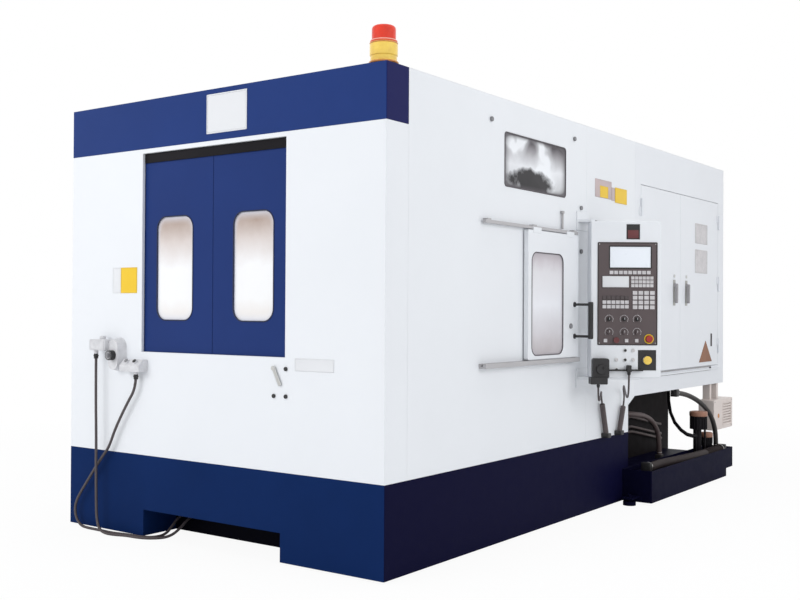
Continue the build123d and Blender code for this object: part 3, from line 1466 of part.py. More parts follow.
def cord(name, points, radius):
    """A cable bent to even arcs, with its smallest bend and its volume share printed."""
    with BuildPart() as cable:
        with BuildLine() as route:
            FilletPolyline(*points, radius=bend_radii(points))
        with BuildSketch(Plane(origin=points[0], z_dir=Vector(points[1]) - Vector(points[0]))):
            Circle(radius)
        sweep()
    share = cable.part.volume / (pi * radius**2 * route.wires()[0].length)
    print(name, "smallest bend", round(min(bend_radii(points))), "mm, volume share", round(share, 4))
    return cable.part


# Coolant hoses: the arched return, one in the tray, and the bed's drain, each with its fittings
hose_radius = 19.0
fitting = 26.0
arch_x = side - 20
arch_y = front + 3795
arch_z = rear_skirt - 30
arch = [
    (arch_x, arch_y, arch_z),
    (side - 12, arch_y + 120, arch_z - 12),
    (side + 8, arch_y + 252, arch_z - 44),
    (side + 32, arch_y + 376, arch_z - 93),
    (side + 56, arch_y + 476, arch_z - 160),
    (side + 70, arch_y + 536, arch_z - 224),
    (side + 79, arch_y + 578, arch_z - 300),
    (side + 84, arch_y + 598, arch_z - 385),
    (side + 84, arch_y + 598, lid_z),
]
tray_hose_radius = 32.0
tray_fitting = tray_hose_radius + 2
tray_hose_z = lid_z + tray_hose_radius + 6
tray_hose = [
    (side + 172, front + 4250, tray_hose_z),
    (side + 172, front + 3900, tray_hose_z),
    (side + 168, front + 3700, tray_hose_z),
    (side + 150, front + 3480, tray_hose_z),
    (side + 120, front + 3260, tray_hose_z),
    (side + 104, front + 3060, tray_hose_z),
    (side + 104, front + 2940, tray_hose_z),
]
drain_x = bed_rear_width / 2
drain = [
    (drain_x, front + 3100, base + 560),
    (drain_x + 110, front + 3100, base + 560),
    (drain_x + 196, front + 3190, base + 552),
    (drain_x + 206, front + 3360, base + 530),
    (drain_x + 206, front + 3530, base + 470),
    (drain_x + 206, front + 3650, base + 350),
    (drain_x + 206, front + 3650, lid_z),
]
with BuildPart() as coolant_hoses:
    add(cord("arch hose", arch, hose_radius))
    add(cord("tray hose", tray_hose, tray_hose_radius))
    add(cord("drain hose", drain, hose_radius))
    block(arch_x - fitting, arch_x + fitting, arch_y - 2 * fitting, arch_y, arch_z - fitting, rear_skirt)
    for (x, y, _), reach in ((tray_hose[0], tray_fitting), (tray_hose[-1], -tray_fitting)):
        y0, y1 = sorted((y, y + reach))
        block(x - tray_fitting, x + tray_fitting, y0, y1, lid_z, tray_hose_z + tray_fitting)
coolant_hoses.part.label = "coolant_hoses"
export_step(coolant_hoses.part, "parts/coolant_hoses.step")

# Front cables: down from their boxes, along the floor and through the plinth's cut-out to the bed
bed_wall = front + bed_front
cable_a = [
    (cable_a_x, cable_a_y, junction_z - junction_height / 2 - entry_length),
    (cable_a_x, cable_a_y, base + 798),
    (cable_a_x + 7, cable_a_y, base + 563),
    (cable_a_x + 10, cable_a_y - 1, base + 333),
    (cable_a_x + 13, cable_a_y, base + 153),
    (cable_a_x + 19, cable_a_y - 1, base + 73),
    (cable_a_x + 43, cable_a_y - 5, base + 16),
    (cable_a_x + 96, cable_a_y - 11, floor_z),
    (cable_a_x + 175, cable_a_y - 12, floor_z),
    (cable_a_x + 256, cable_a_y + 19, floor_z),
    (cable_a_x + 361, cable_a_y + 23, floor_z),
    (cable_a_x + 441, cable_a_y + 60, floor_z),
    (cable_a_x + 496, cable_a_y + 135, floor_z + 3),
    (cable_a_x + 519, cable_a_y + 203, floor_z + 51),
    (cable_hole_places[0], bed_wall - 60, cable_hole_z),
    (cable_hole_places[0], bed_wall, cable_hole_z),
]
cable_b = [
    (cable_b_x, cable_b_y, button_z0 - cable_b_entry),
    (cable_b_x, cable_b_y, base + 848),
    (cable_b_x - 76, cable_b_y, base + 753),
    (cable_b_x - 179, cable_b_y - 1, base + 598),
    (cable_b_x - 232, cable_b_y, base + 488),
    (cable_b_x - 312, cable_b_y - 1, base + 408),
    (cable_b_x - 427, cable_b_y, base + 273),
    (cable_b_x - 502, cable_b_y - 1, base + 183),
    (cable_b_x - 532, cable_b_y - 2, base + 131),
    (cable_b_x - 537, cable_b_y - 3, base + 85),
    (cable_b_x - 521, cable_b_y - 4, base + 42),
    (cable_b_x - 488, cable_b_y - 4, base + 10),
    (cable_b_x - 447, cable_b_y - 3, floor_z),
    (cable_b_x - 307, cable_b_y - 1, floor_z),
    (cable_b_x - 182, cable_b_y - 9, floor_z),
    (cable_b_x - 72, cable_b_y + 18, floor_z),
    (cable_b_x + 38, cable_b_y + 21, floor_z),
    (cable_b_x + 98, cable_b_y + 59, floor_z),
    (cable_b_x + 113, cable_b_y + 129, floor_z + 5),
    (cable_b_x + 118, cable_b_y + 184, floor_z + 53),
    (cable_hole_places[1], bed_wall - 60, cable_hole_z),
    (cable_hole_places[1], bed_wall, cable_hole_z),
]
for name, points in (("front_cable_a", cable_a), ("front_cable_b", cable_b)):
    with BuildPart() as front_cable:
        add(cord(name, points, cable_radius))
    front_cable.part.label = name
    export_step(front_cable.part, f"parts/{name}.step")

# Conduits up the side from the plinth, and the console's two cables that run into them
conduit_x = side + 26
conduit_radius = 16.0
plinth_end = front + plinth_side_length
conduits = (
    ((conduit_x, plinth_end - 414, base + 480), (conduit_x, plinth_end - 478, base + 690)),
    ((conduit_x, plinth_end - 207, base + 480), (conduit_x, plinth_end - 143, base + 653)),
)
with BuildPart() as cable_conduits:
    for foot, mouth in conduits:
        block(side, conduit_x + 22, foot[1] - 24, foot[1] + 24, foot[2] - 16, foot[2] + 10)
        run = Vector(mouth) - Vector(foot)
        with BuildSketch(Plane(origin=foot, z_dir=run)):
            Circle(conduit_radius)
        extrude(amount=run.length)
cable_conduits.part.label = "cable_conduits"
export_step(cable_conduits.part, "parts/cable_conduits.step")


def console_point(right, height, proud):
    """A point given in the console's own frame."""
    point = face_corner + console_right * right + console_out * proud
    return (point.X, point.Y, height)


def drop_line(start, finish, places):
    """Points along the plan line from start to finish, by distance along it and height."""
    direction = (Vector(finish[0], finish[1]) - Vector(start[0], start[1])).normalized()
    return [(start[0] + direction.X * along, start[1] + direction.Y * along, z) for along, z in places]


handwheel_start = console_point(40, base + 848, 40)
handwheel_line = drop_line(handwheel_start, conduits[0][1], [
    (0, base + 848), (0, base + 793), (38, base + 750), (100, base + 736),
    (180, base + 744), (256, base + 766), (324, base + 780)])
approach_a = (Vector(conduits[0][1]) - Vector(conduits[0][0])).normalized()
handwheel_points = handwheel_line + [
    tuple(Vector(conduits[0][1]) + approach_a * 60), conduits[0][1]]
console_start = console_point(plug_place[0], plug_place[1], plug_reach)
console_line = drop_line(console_start, conduits[1][1], [
    (0, base + 925), (0, base + 850), (48, base + 788), (125, base + 756), (225, base + 748),
    (325, base + 756), (415, base + 770), (506, base + 787), (596, base + 800), (654, base + 769)])
approach_b = (Vector(conduits[1][1]) - Vector(conduits[1][0])).normalized()
console_points = console_line + [
    tuple(Vector(conduits[1][1]) + approach_b * 62), conduits[1][1]]
for name, points in (("handwheel_cable", handwheel_points), ("console_cable", console_points)):
    with BuildPart() as side_cable:
        add(cord(name, points, thin_cable_radius))
    side_cable.part.label = name
    export_step(side_cable.part, f"parts/{name}.step")
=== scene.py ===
import math
import bpy
import bmesh
from mathutils import Matrix, Vector


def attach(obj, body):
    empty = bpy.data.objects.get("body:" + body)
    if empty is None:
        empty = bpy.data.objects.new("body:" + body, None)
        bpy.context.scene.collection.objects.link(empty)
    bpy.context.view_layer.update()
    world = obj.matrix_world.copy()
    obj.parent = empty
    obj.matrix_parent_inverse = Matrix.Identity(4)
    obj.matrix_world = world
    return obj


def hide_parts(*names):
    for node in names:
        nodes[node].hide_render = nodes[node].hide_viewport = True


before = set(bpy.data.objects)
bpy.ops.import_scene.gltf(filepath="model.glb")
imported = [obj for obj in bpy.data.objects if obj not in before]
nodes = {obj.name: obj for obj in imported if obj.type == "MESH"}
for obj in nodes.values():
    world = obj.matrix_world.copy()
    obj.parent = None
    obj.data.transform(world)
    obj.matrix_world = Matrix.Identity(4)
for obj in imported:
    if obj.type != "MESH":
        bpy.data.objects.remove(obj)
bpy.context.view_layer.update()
print("frame loaded:", len(nodes), "nodes")

# Shared places, in metres: the enclosure's right side, its loading face and the plinth's foot
sideX, frontY, baseZ = 1.192, -2.405, 0.012
toFront, toBack, toRight, toLeft, toTop = (0, -1, 0), (0, 1, 0), (1, 0, 0), (-1, 0, 0), (0, 0, 1)
turn = math.radians(35.6)  # the console's face, turned from the loading face
faceCorner = Vector((1.31197, -0.40895, 0.0))
alongFace = Vector((math.cos(turn), math.sin(turn), 0.0))
outOfFace = Vector((math.sin(turn), -math.cos(turn), 0.0))


def consoleSpot(right, height, proud=0.0):
    return faceCorner + alongFace * right + outOfFace * proud + Vector((0, 0, height + baseZ))


# materials
def newMaterial(name):
    mat = bpy.data.materials.new(name)
    mat.use_nodes = True
    shader = mat.node_tree.nodes["Principled BSDF"]
    return mat, mat.node_tree, shader


def addNode(tree, kind, **values):
    node = tree.nodes.new("ShaderNode" + kind)
    for key, value in values.items():
        if key in node.inputs:
            node.inputs[key].default_value = value
        else:
            setattr(node, key, value)
    return node


def colourRamp(tree, source, stops):
    ramp = tree.nodes.new("ShaderNodeValToRGB")
    elements = ramp.color_ramp.elements
    while len(elements) < len(stops):
        elements.new(0.5)
    for element, (place, colour) in zip(elements, stops):
        element.position = place
        element.color = (*colour, 1.0)
    tree.links.new(source, ramp.inputs["Fac"])
    return ramp


def setInputs(node, values):
    for key, value in values.items():
        node.inputs[key].default_value = value


def wire(tree, *pairs):
    for source, socket in pairs:
        tree.links.new(source, socket)


def rampTo(tree, source, stops, socket):
    tree.links.new(colourRamp(tree, source, stops).outputs["Color"], socket)


def raiseGrain(tree, shader, height, edge, strength, distance):
    # a bump laid over the softened edges
    bump = addNode(tree, "Bump", Strength=strength, Distance=distance)
    wire(tree, (height, bump.inputs["Height"]), (edge.outputs["Normal"], bump.inputs["Normal"]),
         (bump.outputs["Normal"], shader.inputs["Normal"]))


def shade(colour, factor):
    return tuple(min(1.0, c * factor) for c in colour)


def reachMask(tree, place, axis, limit):
    # 1 where the distance from the machine's middle along that axis passes the limit
    parts = addNode(tree, "SeparateXYZ")
    tree.links.new(place.outputs["Object"], parts.inputs[0])
    size = addNode(tree, "Math", operation="ABSOLUTE")
    tree.links.new(parts.outputs[axis], size.inputs[0])
    over = addNode(tree, "Math", operation="GREATER_THAN")
    over.inputs[1].default_value = limit
    tree.links.new(size.outputs[0], over.inputs[0])
    return over.outputs[0]


def mixColours(tree, factor, first, second):
    mixed = addNode(tree, "Mix", data_type="RGBA")
    tree.links.new(factor, mixed.inputs["Factor"])
    tree.links.new(first, mixed.inputs["A"])
    if isinstance(second, tuple):
        mixed.inputs["B"].default_value = (*second, 1)
    else:
        tree.links.new(second, mixed.inputs["B"])
    return mixed.outputs["Result"]


def paint(name, colour, rough=0.34, peel=0.05, dirt=0.05, coat=0.1, gloss=0.35, wear=0.12, shadedSide=None,
          depth=None):
    # sprayed paint: orange peel, a slow drift of tone, and paler or darker edges; on request also painted shade: a
    # dark tone inside a recess and a darker tone on the side faces
    mat, tree, shader = newMaterial(name)
    link = tree.links.new
    place = addNode(tree, "TexCoord")
    drift = addNode(tree, "TexNoise", Scale=1.7, Detail=4.0, Roughness=0.6)
    fine = addNode(tree, "TexNoise", Scale=260.0, Detail=2.0)
    grime = addNode(tree, "TexNoise", Scale=14.0, Detail=8.0, Roughness=0.7)
    for texture in (drift, fine, grime):
        link(place.outputs["Object"], texture.inputs["Vector"])
    tone = colourRamp(tree, drift.outputs["Fac"], [(0.3, shade(colour, 1 - dirt)), (0.7, shade(colour, 1 + dirt))])
    edge = addNode(tree, "Bevel", samples=4, Radius=0.004)
    facing = addNode(tree, "NewGeometry")
    meet = addNode(tree, "VectorMath", operation="DOT_PRODUCT")
    link(edge.outputs["Normal"], meet.inputs[0])
    link(facing.outputs["Normal"], meet.inputs[1])
    wornEdge = colourRamp(tree, meet.outputs["Value"], [(0.80, (wear,) * 3), (0.97, (0, 0, 0))])
    scuff = addNode(tree, "Math", operation="MULTIPLY")
    link(wornEdge.outputs["Color"], scuff.inputs[0])
    link(grime.outputs["Fac"], scuff.inputs[1])
    result = mixColours(tree, scuff.outputs[0], tone.outputs["Color"], tuple(0.75 * c + 0.125 for c in colour))
    # painted shade: inside the recess, nearer the middle along Y than the given distance, the colour turns to the
    # given dark tone
    if depth:
        inside = addNode(tree, "Math", operation="LESS_THAN")
        inside.inputs[1].default_value = 0.5
        link(reachMask(tree, place, "Y", depth[0]), inside.inputs[0])
        result = mixColours(tree, inside.outputs[0], result, depth[1])
    # painted shade: on the side faces, past the given distance along X, the colour turns to the given darker tone
    if shadedSide:
        result = mixColours(tree, reachMask(tree, place, "X", shadedSide[0]), result, shadedSide[1])
    link(result, shader.inputs["Base Color"])
    rampTo(tree, grime.outputs["Fac"], [(0.3, (rough - 0.05,) * 3), (0.75, (rough + 0.08,) * 3)],
           shader.inputs["Roughness"])
    raiseGrain(tree, shader, fine.outputs["Fac"], edge, peel, 0.0006)
    setInputs(shader, {"Coat Weight": coat, "Coat Roughness": 0.12, "Specular IOR Level": gloss})
    return mat


def metal(name, colour, rough=0.32, grain=(1, 1, 60), bumpiness=0.12):
    # ground or drawn metal: streaks along one way, with small changes of gloss
    mat, tree, shader = newMaterial(name)
    link = tree.links.new
    place = addNode(tree, "TexCoord")
    stretch = addNode(tree, "Mapping")
    stretch.inputs["Scale"].default_value = grain
    streak = addNode(tree, "TexNoise", Scale=22.0, Detail=6.0, Roughness=0.65)
    link(place.outputs["Object"], stretch.inputs["Vector"])
    link(stretch.outputs["Vector"], streak.inputs["Vector"])
    figure = streak.outputs["Fac"]
    rampTo(tree, figure, [(0.3, shade(colour, 0.85)), (0.7, shade(colour, 1.12))], shader.inputs["Base Color"])
    rampTo(tree, figure, [(0.25, (rough - 0.08,) * 3), (0.8, (rough + 0.12,) * 3)], shader.inputs["Roughness"])
    raiseGrain(tree, shader, figure, addNode(tree, "Bevel", samples=4, Radius=0.0015), bumpiness, 0.0004)
    shader.inputs["Metallic"].default_value = 1.0
    return mat


def plastic(name, colour, rough=0.5, grainScale=900.0, bumpiness=0.15, coat=0.0):
    # moulded or rubbery surface: fine grain, dust in the hollows
    mat, tree, shader = newMaterial(name)
    link = tree.links.new
    place = addNode(tree, "TexCoord")
    grain = addNode(tree, "TexNoise", Scale=grainScale, Detail=2.0)
    dust = addNode(tree, "TexNoise", Scale=18.0, Detail=6.0, Roughness=0.7)
    for texture in (grain, dust):
        link(place.outputs["Object"], texture.inputs["Vector"])
    figure = dust.outputs["Fac"]
    rampTo(tree, figure, [(0.35, shade(colour, 0.88)), (0.75, shade(colour, 1.18))], shader.inputs["Base Color"])
    rampTo(tree, figure, [(0.3, (rough - 0.06,) * 3), (0.8, (rough + 0.1,) * 3)], shader.inputs["Roughness"])
    raiseGrain(tree, shader, grain.outputs["Fac"], addNode(tree, "Bevel", samples=4, Radius=0.0015), bumpiness, 0.0003)
    shader.inputs["Coat Weight"].default_value = coat
    return mat


def shadedPane(name, axis, centre, half, stops, edgeColour, reflectionFolds=None):
    # pane painted with light and shade: a pale lit middle, painted shade towards the foot, the head and round the
    # edge, mottled by noise; optionally painted reflection folds and a painted shadow patch
    mat, tree, shader = newMaterial(name)
    link = tree.links.new

    def figure(operation, first, second, third=None):
        node = addNode(tree, "Math", operation=operation)
        for socket, value in zip(node.inputs, (first, second, third)):
            if isinstance(value, (int, float)):
                socket.default_value = value
            elif value is not None:
                link(value, socket)
        return node.outputs[0]

    place = addNode(tree, "TexCoord")
    parts = addNode(tree, "SeparateXYZ")
    link(place.outputs["Object"], parts.inputs[0])
    mottle = addNode(tree, "TexNoise", Scale=5.0, Detail=5.0, Roughness=0.6)
    link(place.outputs["Object"], mottle.inputs["Vector"])
    shares = []
    for way, middle, reach in zip((axis, "Z"), centre, half):
        beside = figure("ABSOLUTE", parts.outputs[way], 0)
        apart = figure("ABSOLUTE", figure("SUBTRACT", beside, abs(middle)), 0)
        shares.append(figure("POWER", figure("DIVIDE", apart, reach), 8.0))
    # painted shade: the tone runs from the pane's foot to its head, mottled by noise
    rise = figure("MULTIPLY_ADD", parts.outputs["Z"], 0.5 / half[1], 0.5 - 0.5 * centre[1] / half[1])
    shadeLevel = figure("MULTIPLY_ADD", mottle.outputs["Fac"], 0.22, figure("SUBTRACT", rise, 0.11))
    tone = colourRamp(tree, shadeLevel, stops).outputs["Color"]
    # painted reflection: bright slanted folds, with a painted shadow patch low on the pane
    if reflectionFolds:
        sheet = addNode(tree, "TexWave", Scale=reflectionFolds[0], Distortion=7.0, Detail=2.5)
        slant = addNode(tree, "Mapping")
        slant.inputs["Rotation"].default_value = reflectionFolds[1]
        link(place.outputs["Object"], slant.inputs["Vector"])
        link(slant.outputs["Vector"], sheet.inputs["Vector"])
        reflectionFold = colourRamp(tree, sheet.outputs["Fac"], [(0.08, (0.95,) * 3), (0.3, (0.35,) * 3), (0.8, (0.0,) * 3)])
        tone = mixColours(tree, reflectionFold.outputs["Color"], tone, reflectionFolds[2])
        across = figure("DIVIDE", figure("ADD", parts.outputs[axis], reflectionFolds[3][0]), reflectionFolds[3][2])
        upward = figure("DIVIDE", figure("SUBTRACT", parts.outputs["Z"], reflectionFolds[3][1]), reflectionFolds[3][3])
        far = figure("ADD", figure("POWER", across, 2), figure("POWER", upward, 2))
        spread = figure("DIVIDE", figure("MULTIPLY_ADD", mottle.outputs["Fac"], 2.6, far), 4.0)
        shadow = colourRamp(tree, spread, [(0.48, (0.97,) * 3), (0.62, (0,) * 3)])
        tone = mixColours(tree, shadow.outputs["Color"], tone, (0.02, 0.018, 0.02))
    # painted shade: a band round the pane's edge turns to the edge colour
    edge = colourRamp(tree, figure("ADD", shares[0], shares[1]), [(0.25, (0,) * 3), (1.0, (0.9,) * 3)])
    tone = mixColours(tree, edge.outputs["Color"], tone, edgeColour)
    link(tone, shader.inputs["Base Color"])
    setInputs(shader, {"Roughness": 0.14, "Specular IOR Level": 0.12})
    return mat


white = paint("panelWhite", (0.81, 0.83, 0.86), rough=0.36, dirt=0.010, peel=0.04, wear=0.0)
cabinetWhite = paint("cabinetWhite", (0.79, 0.81, 0.845), rough=0.38, dirt=0.012, peel=0.04, wear=0.0)
# painted shade: the header band's side faces are painted a darker navy
headerBlue = paint("headerBlue", (0.013, 0.038, 0.172), rough=0.34, coat=0.0, gloss=0.14,
                   shadedSide=(1.1905, (0.003, 0.005, 0.078)))
doorBlue = paint("doorBlue", (0.012, 0.034, 0.155), rough=0.36, coat=0.0, gloss=0.14)
# painted shade: the plinth's recess behind the loading face is painted near black, and its side faces a darker navy
plinthBlue = paint("plinthBlue", (0.006, 0.022, 0.095), rough=0.42, dirt=0.08, gloss=0.02, coat=0.0, wear=0.03,
                   depth=(2.156, (0.004, 0.004, 0.008)), shadedSide=(1.1905, (0.005, 0.005, 0.027)))
# painted shade: the coolant tank takes the dark navy of the plinth's shaded side
tankShadedNavy = paint("tankShadedNavy", (0.004, 0.004, 0.019), rough=0.45, dirt=0.10, gloss=0.02, coat=0.0, wear=0.03)
# painted shade: the bed casting, seen only in the dark under the machine, is painted near black
bedPaintedShade = paint("bedPaintedShade", (0.009, 0.007, 0.008), rough=0.55, dirt=0.1, peel=0.15, gloss=0.05, coat=0.0)
castingGrey = paint("castingGrey", (0.30, 0.33, 0.35), rough=0.45, dirt=0.08, peel=0.12)
innerWhite = paint("innerWhite", (0.70, 0.71, 0.70), rough=0.42, dirt=0.03)
coolerBeige = paint("coolerBeige", (0.74, 0.66, 0.62), rough=0.45, dirt=0.04, wear=0.0)
consoleBrown = paint("consoleBrown", (0.105, 0.082, 0.084), rough=0.5, dirt=0.08, peel=0.2, coat=0.05)
consoleDark = paint("consoleDark", (0.045, 0.036, 0.038), rough=0.5, dirt=0.08, coat=0.0)
blackPaint = paint("blackPaint", (0.009, 0.008, 0.010), rough=0.42, dirt=0.15, gloss=0.12, coat=0.0)
groundSteel = metal("groundSteel", (0.60, 0.60, 0.60), rough=0.28)
drawnSteel = metal("drawnSteel", (0.66, 0.66, 0.64), rough=0.34, grain=(60, 1, 60))
milledIron = metal("milledIron", (0.40, 0.40, 0.41), rough=0.38, grain=(40, 1, 40), bumpiness=0.2)
railGrey = paint("railGrey", (0.46, 0.45, 0.46), rough=0.4, dirt=0.05)
zincSteel = metal("zincSteel", (0.50, 0.50, 0.48), rough=0.42)
blackPlastic = plastic("blackPlastic", (0.020, 0.019, 0.020), rough=0.46)
rubberBlack = plastic("rubberBlack", (0.014, 0.013, 0.013), rough=0.62, grainScale=500)
rubberGrey = plastic("rubberGrey", (0.10, 0.09, 0.10), rough=0.6, grainScale=500)
rubberNavy = plastic("rubberNavy", (0.010, 0.016, 0.05), rough=0.6, grainScale=500)
latchGrey = plastic("latchGrey", (0.34, 0.33, 0.34), rough=0.5)
boxGrey = plastic("boxGrey", (0.66, 0.66, 0.68), rough=0.45)
labelBrown = paint("labelBrown", (0.56, 0.46, 0.46), rough=0.5, dirt=0.06, wear=0.0)
hoseDark = paint("hoseDark", (0.036, 0.028, 0.028), rough=0.6, peel=0.3, dirt=0.2, coat=0.0, gloss=0.15)
hoseBrown = plastic("hoseBrown", (0.085, 0.062, 0.060), rough=0.5, grainScale=350)
rimPink = plastic("rimPink", (0.85, 0.42, 0.32), rough=0.25, coat=0.3)
rimOrange = plastic("rimOrange", (0.60, 0.24, 0.05), rough=0.25, coat=0.3)
keyPale = plastic("keyPale", (0.62, 0.60, 0.61), rough=0.5)
keyDark = plastic("keyDark", (0.075, 0.060, 0.062), rough=0.5)
greyPlastic = plastic("greyPlastic", (0.22, 0.22, 0.23), rough=0.5)
palePlate = paint("palePlate", (0.76, 0.77, 0.79), rough=0.4, dirt=0.01, wear=0.0)
yellowPlate = paint("yellowPlate", (0.85, 0.56, 0.03), rough=0.42, dirt=0.04)
orangePlate = paint("orangePlate", (0.24, 0.105, 0.055), rough=0.45, dirt=0.25, coat=0.0)
redPlastic = plastic("redPlastic", (0.36, 0.022, 0.018), rough=0.34, coat=0.2)
darkRed = plastic("darkRed", (0.13, 0.032, 0.034), rough=0.4)
hoseRubber = plastic("hoseRubber", (0.022, 0.018, 0.017), rough=0.45, grainScale=350)
cableGrey = plastic("cableGrey", (0.070, 0.056, 0.058), rough=0.5, grainScale=600)
conduitBrown = plastic("conduitBrown", (0.105, 0.085, 0.086), rough=0.55, grainScale=500)
screenGlow = paint("screenGlow", (0.88, 0.92, 0.98), rough=0.3, peel=0.0, dirt=0.01, coat=0.2, wear=0.0)
amberLens = plastic("amberLens", (0.94, 0.62, 0.10), rough=0.16, bumpiness=0.02, coat=0.3)
redLens = plastic("redLens", (0.74, 0.030, 0.006), rough=0.2, bumpiness=0.02, coat=0.1)
# painted light and shade on the panes: pale lit middles, darker feet, heads and edges; the roof pane adds painted
# reflection folds and a painted shadow patch
doorPane = shadedPane("doorPane", "X", (0.303, 1.542), (0.146, 0.293),
                     [(0.06, (0.84, 0.81, 0.79)), (0.2, (0.90, 0.90, 0.90)), (0.5, (0.90, 0.90, 0.91)),
                      (0.76, (0.68, 0.61, 0.58)), (0.98, (0.42, 0.32, 0.27))], (0.74, 0.76, 0.84))
sidePane = shadedPane("sidePane", "Y", (0.8235, 1.354), (0.197, 0.302),
                     [(0.02, (0.50, 0.46, 0.47)), (0.22, (0.66, 0.64, 0.67)), (0.5, (0.84, 0.85, 0.89)),
                      (0.8, (0.76, 0.75, 0.78)), (0.98, (0.56, 0.51, 0.54))], (0.50, 0.47, 0.50))
topPane = shadedPane("topPane", "Y", (0.9025, 2.1735), (0.373, 0.148),
                    [(0.1, (0.62, 0.63, 0.65)), (0.45, (0.80, 0.81, 0.84)), (0.75, (0.36, 0.35, 0.37)),
                     (0.97, (0.08, 0.07, 0.08))], (0.10, 0.09, 0.10),
                    reflectionFolds=(3.0, (0.75, 0.2, 0.0), (0.90, 0.92, 0.95), (0.965, 2.068, 0.285, 0.082)))
print("materials made")

# materials on the CAD nodes
nodePaint = [
    (zincSteel, "leveling_feet"),
    (bedPaintedShade, "bed"),
    (castingGrey, "changer_housing table_saddle column headstock tool_magazine magazine_frame"),
    (plinthBlue, "base_skirt"),
    (white, "front_shell side_panel_right pendant_panel_right plain_panels operator_door console_housing "
            "console_brackets"),
    (headerBlue, "header_band"),
    (topPane, "magazine_pane"),
    (cabinetWhite, "electrical_cabinet cabinet_door_front cabinet_door_rear"),
    (greyPlastic, "cabinet_modules"),
    (latchGrey, "latch_handle_front latch_handle_rear"),
    (railGrey, "door_rails"),
    (doorBlue, "front_door_left front_door_right"),
    (doorPane, "front_pane_left front_pane_right"),
    (sidePane, "operator_pane"),
    (blackPlastic, "operator_handle feed_knob spindle_knob mode_knob handwheel_pendant handwheel_dial"),
    (groundSteel, "rotary_table changer_shaft spindle stored_tools tool_change_arm"),
    (milledIron, "pallet_rear pallet_front"),
    (innerWhite, "pallet_changer"),
    (consoleBrown, "console_panel"),
    (screenGlow, "console_screen"),
    (redPlastic, "e_stop_button"),
    (amberLens, "signal_light_base signal_light_amber"),
    (redLens, "signal_light_red"),
    (boxGrey, "service_boxes"),
    (tankShadedNavy, "coolant_tank"),
    (blackPaint, "coolant_pumps"),
    (coolerBeige, "oil_cooler"),
    (hoseRubber, "coolant_hoses"),
    (cableGrey, "front_cable_a front_cable_b console_cable handwheel_cable"),
    (conduitBrown, "cable_conduits"),
]
for mat, nodeNames in nodePaint:
    for nodeName in nodeNames.split():
        nodes[nodeName].data.materials.clear()
        nodes[nodeName].data.materials.append(mat)
print("CAD nodes painted")


# modelling helpers
def deselectAll():
    if bpy.context.mode != "OBJECT":
        objectMode()
    bpy.ops.object.select_all(action="DESELECT")


def activate(obj):
    deselectAll()
    obj.select_set(True)
    bpy.context.view_layer.objects.active = obj


def applyPlace(obj):
    activate(obj)
    bpy.ops.object.transform_apply(location=True, rotation=True, scale=True)


def applyModifier(obj, kind, **settings):
    activate(obj)
    modifier = obj.modifiers.new(kind.title(), kind)
    for key, value in settings.items():
        setattr(modifier, key, value)
    bpy.ops.object.modifier_apply(modifier=modifier.name)


def faceAlong(obj, way):
    obj.rotation_euler = Vector(way).to_track_quat("Z", "Y").to_euler()


def recalcNormals(obj):
    activate(obj)
    bpy.ops.object.mode_set(mode="EDIT")
    bpy.ops.mesh.select_all(action="SELECT")
    bpy.ops.mesh.remove_doubles(threshold=0.00001)
    bpy.ops.mesh.normals_make_consistent(inside=False)
    objectMode()


def startShape(name, kind, **settings):
    deselectAll()
    getattr(bpy.ops.mesh, f"primitive_{kind}_add")(**settings)
    obj = bpy.context.object
    obj.name = name
    return obj


def startBlock(name, low, high):
    low, high = Vector(low), Vector(high)
    obj = startShape(name, "cube", size=1, location=(low + high) / 2)
    obj.scale = high - low
    applyPlace(obj)
    return obj


def bevel(obj, width, segments=2):
    applyModifier(obj, "BEVEL", width=width, segments=segments, limit_method="ANGLE")


def block(name, low, high, rounding, segments=2):
    obj = startBlock(name, low, high)
    bevel(obj, rounding, segments)
    return obj


def objectMode():
    bpy.ops.object.mode_set(mode="OBJECT")


def editAll(kind):
    bpy.ops.object.mode_set(mode="EDIT")
    bpy.ops.mesh.select_mode(type=kind)
    bpy.ops.mesh.select_all(action="SELECT")


def makeAll(make, pieces, **shared):
    # one piece for each row, with what the row doesn't say taken from the shared settings
    for name, settings in pieces.items():
        make(name, **{**shared, **settings})


def pickFaces(obj, way, tolerance=0.9):
    # selects, in edit mode, the faces that look that way
    way = Vector(way).normalized()
    bpy.ops.object.mode_set(mode="EDIT")
    bpy.ops.mesh.select_all(action="DESELECT")
    bpy.ops.mesh.select_mode(type="FACE")
    bm = bmesh.from_edit_mesh(obj.data)
    for face in bm.faces:
        face.select = face.normal.dot(way) > tolerance
    bmesh.update_edit_mesh(obj.data)


def sinkFace(obj, way, rim, depth):
    # a rim left round a face that is pushed in, or out where depth is negative
    activate(obj)
    pickFaces(obj, way)
    bpy.ops.mesh.inset(thickness=rim, depth=0)
    bpy.ops.mesh.inset(thickness=abs(depth) * 0.4, depth=-depth)
    objectMode()


def finishPiece(obj, mat, body="machine", smooth=35):
    obj.data.materials.clear()
    obj.data.materials.append(mat)
    activate(obj)
    bpy.ops.object.shade_smooth_by_angle(angle=math.radians(smooth))
    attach(obj, body)
    return obj


def joinPieces(objs, name):
    deselectAll()
    for obj in objs:
        obj.select_set(True)
    bpy.context.view_layer.objects.active = objs[0]
    bpy.ops.object.join()
    joined = bpy.context.object
    joined.name = name
    joined.data.name = name
    return joined


def plate(name, low, high, way, mat, body="machine", slotName="panel_white", rim=0.006, depth=0.0006, rounding=0.003):
    # a thin plate with a raised edge
    obj = block(name, low, high, rounding)
    sinkFace(obj, way, rim, depth)
    return finishPiece(obj, mat, body)


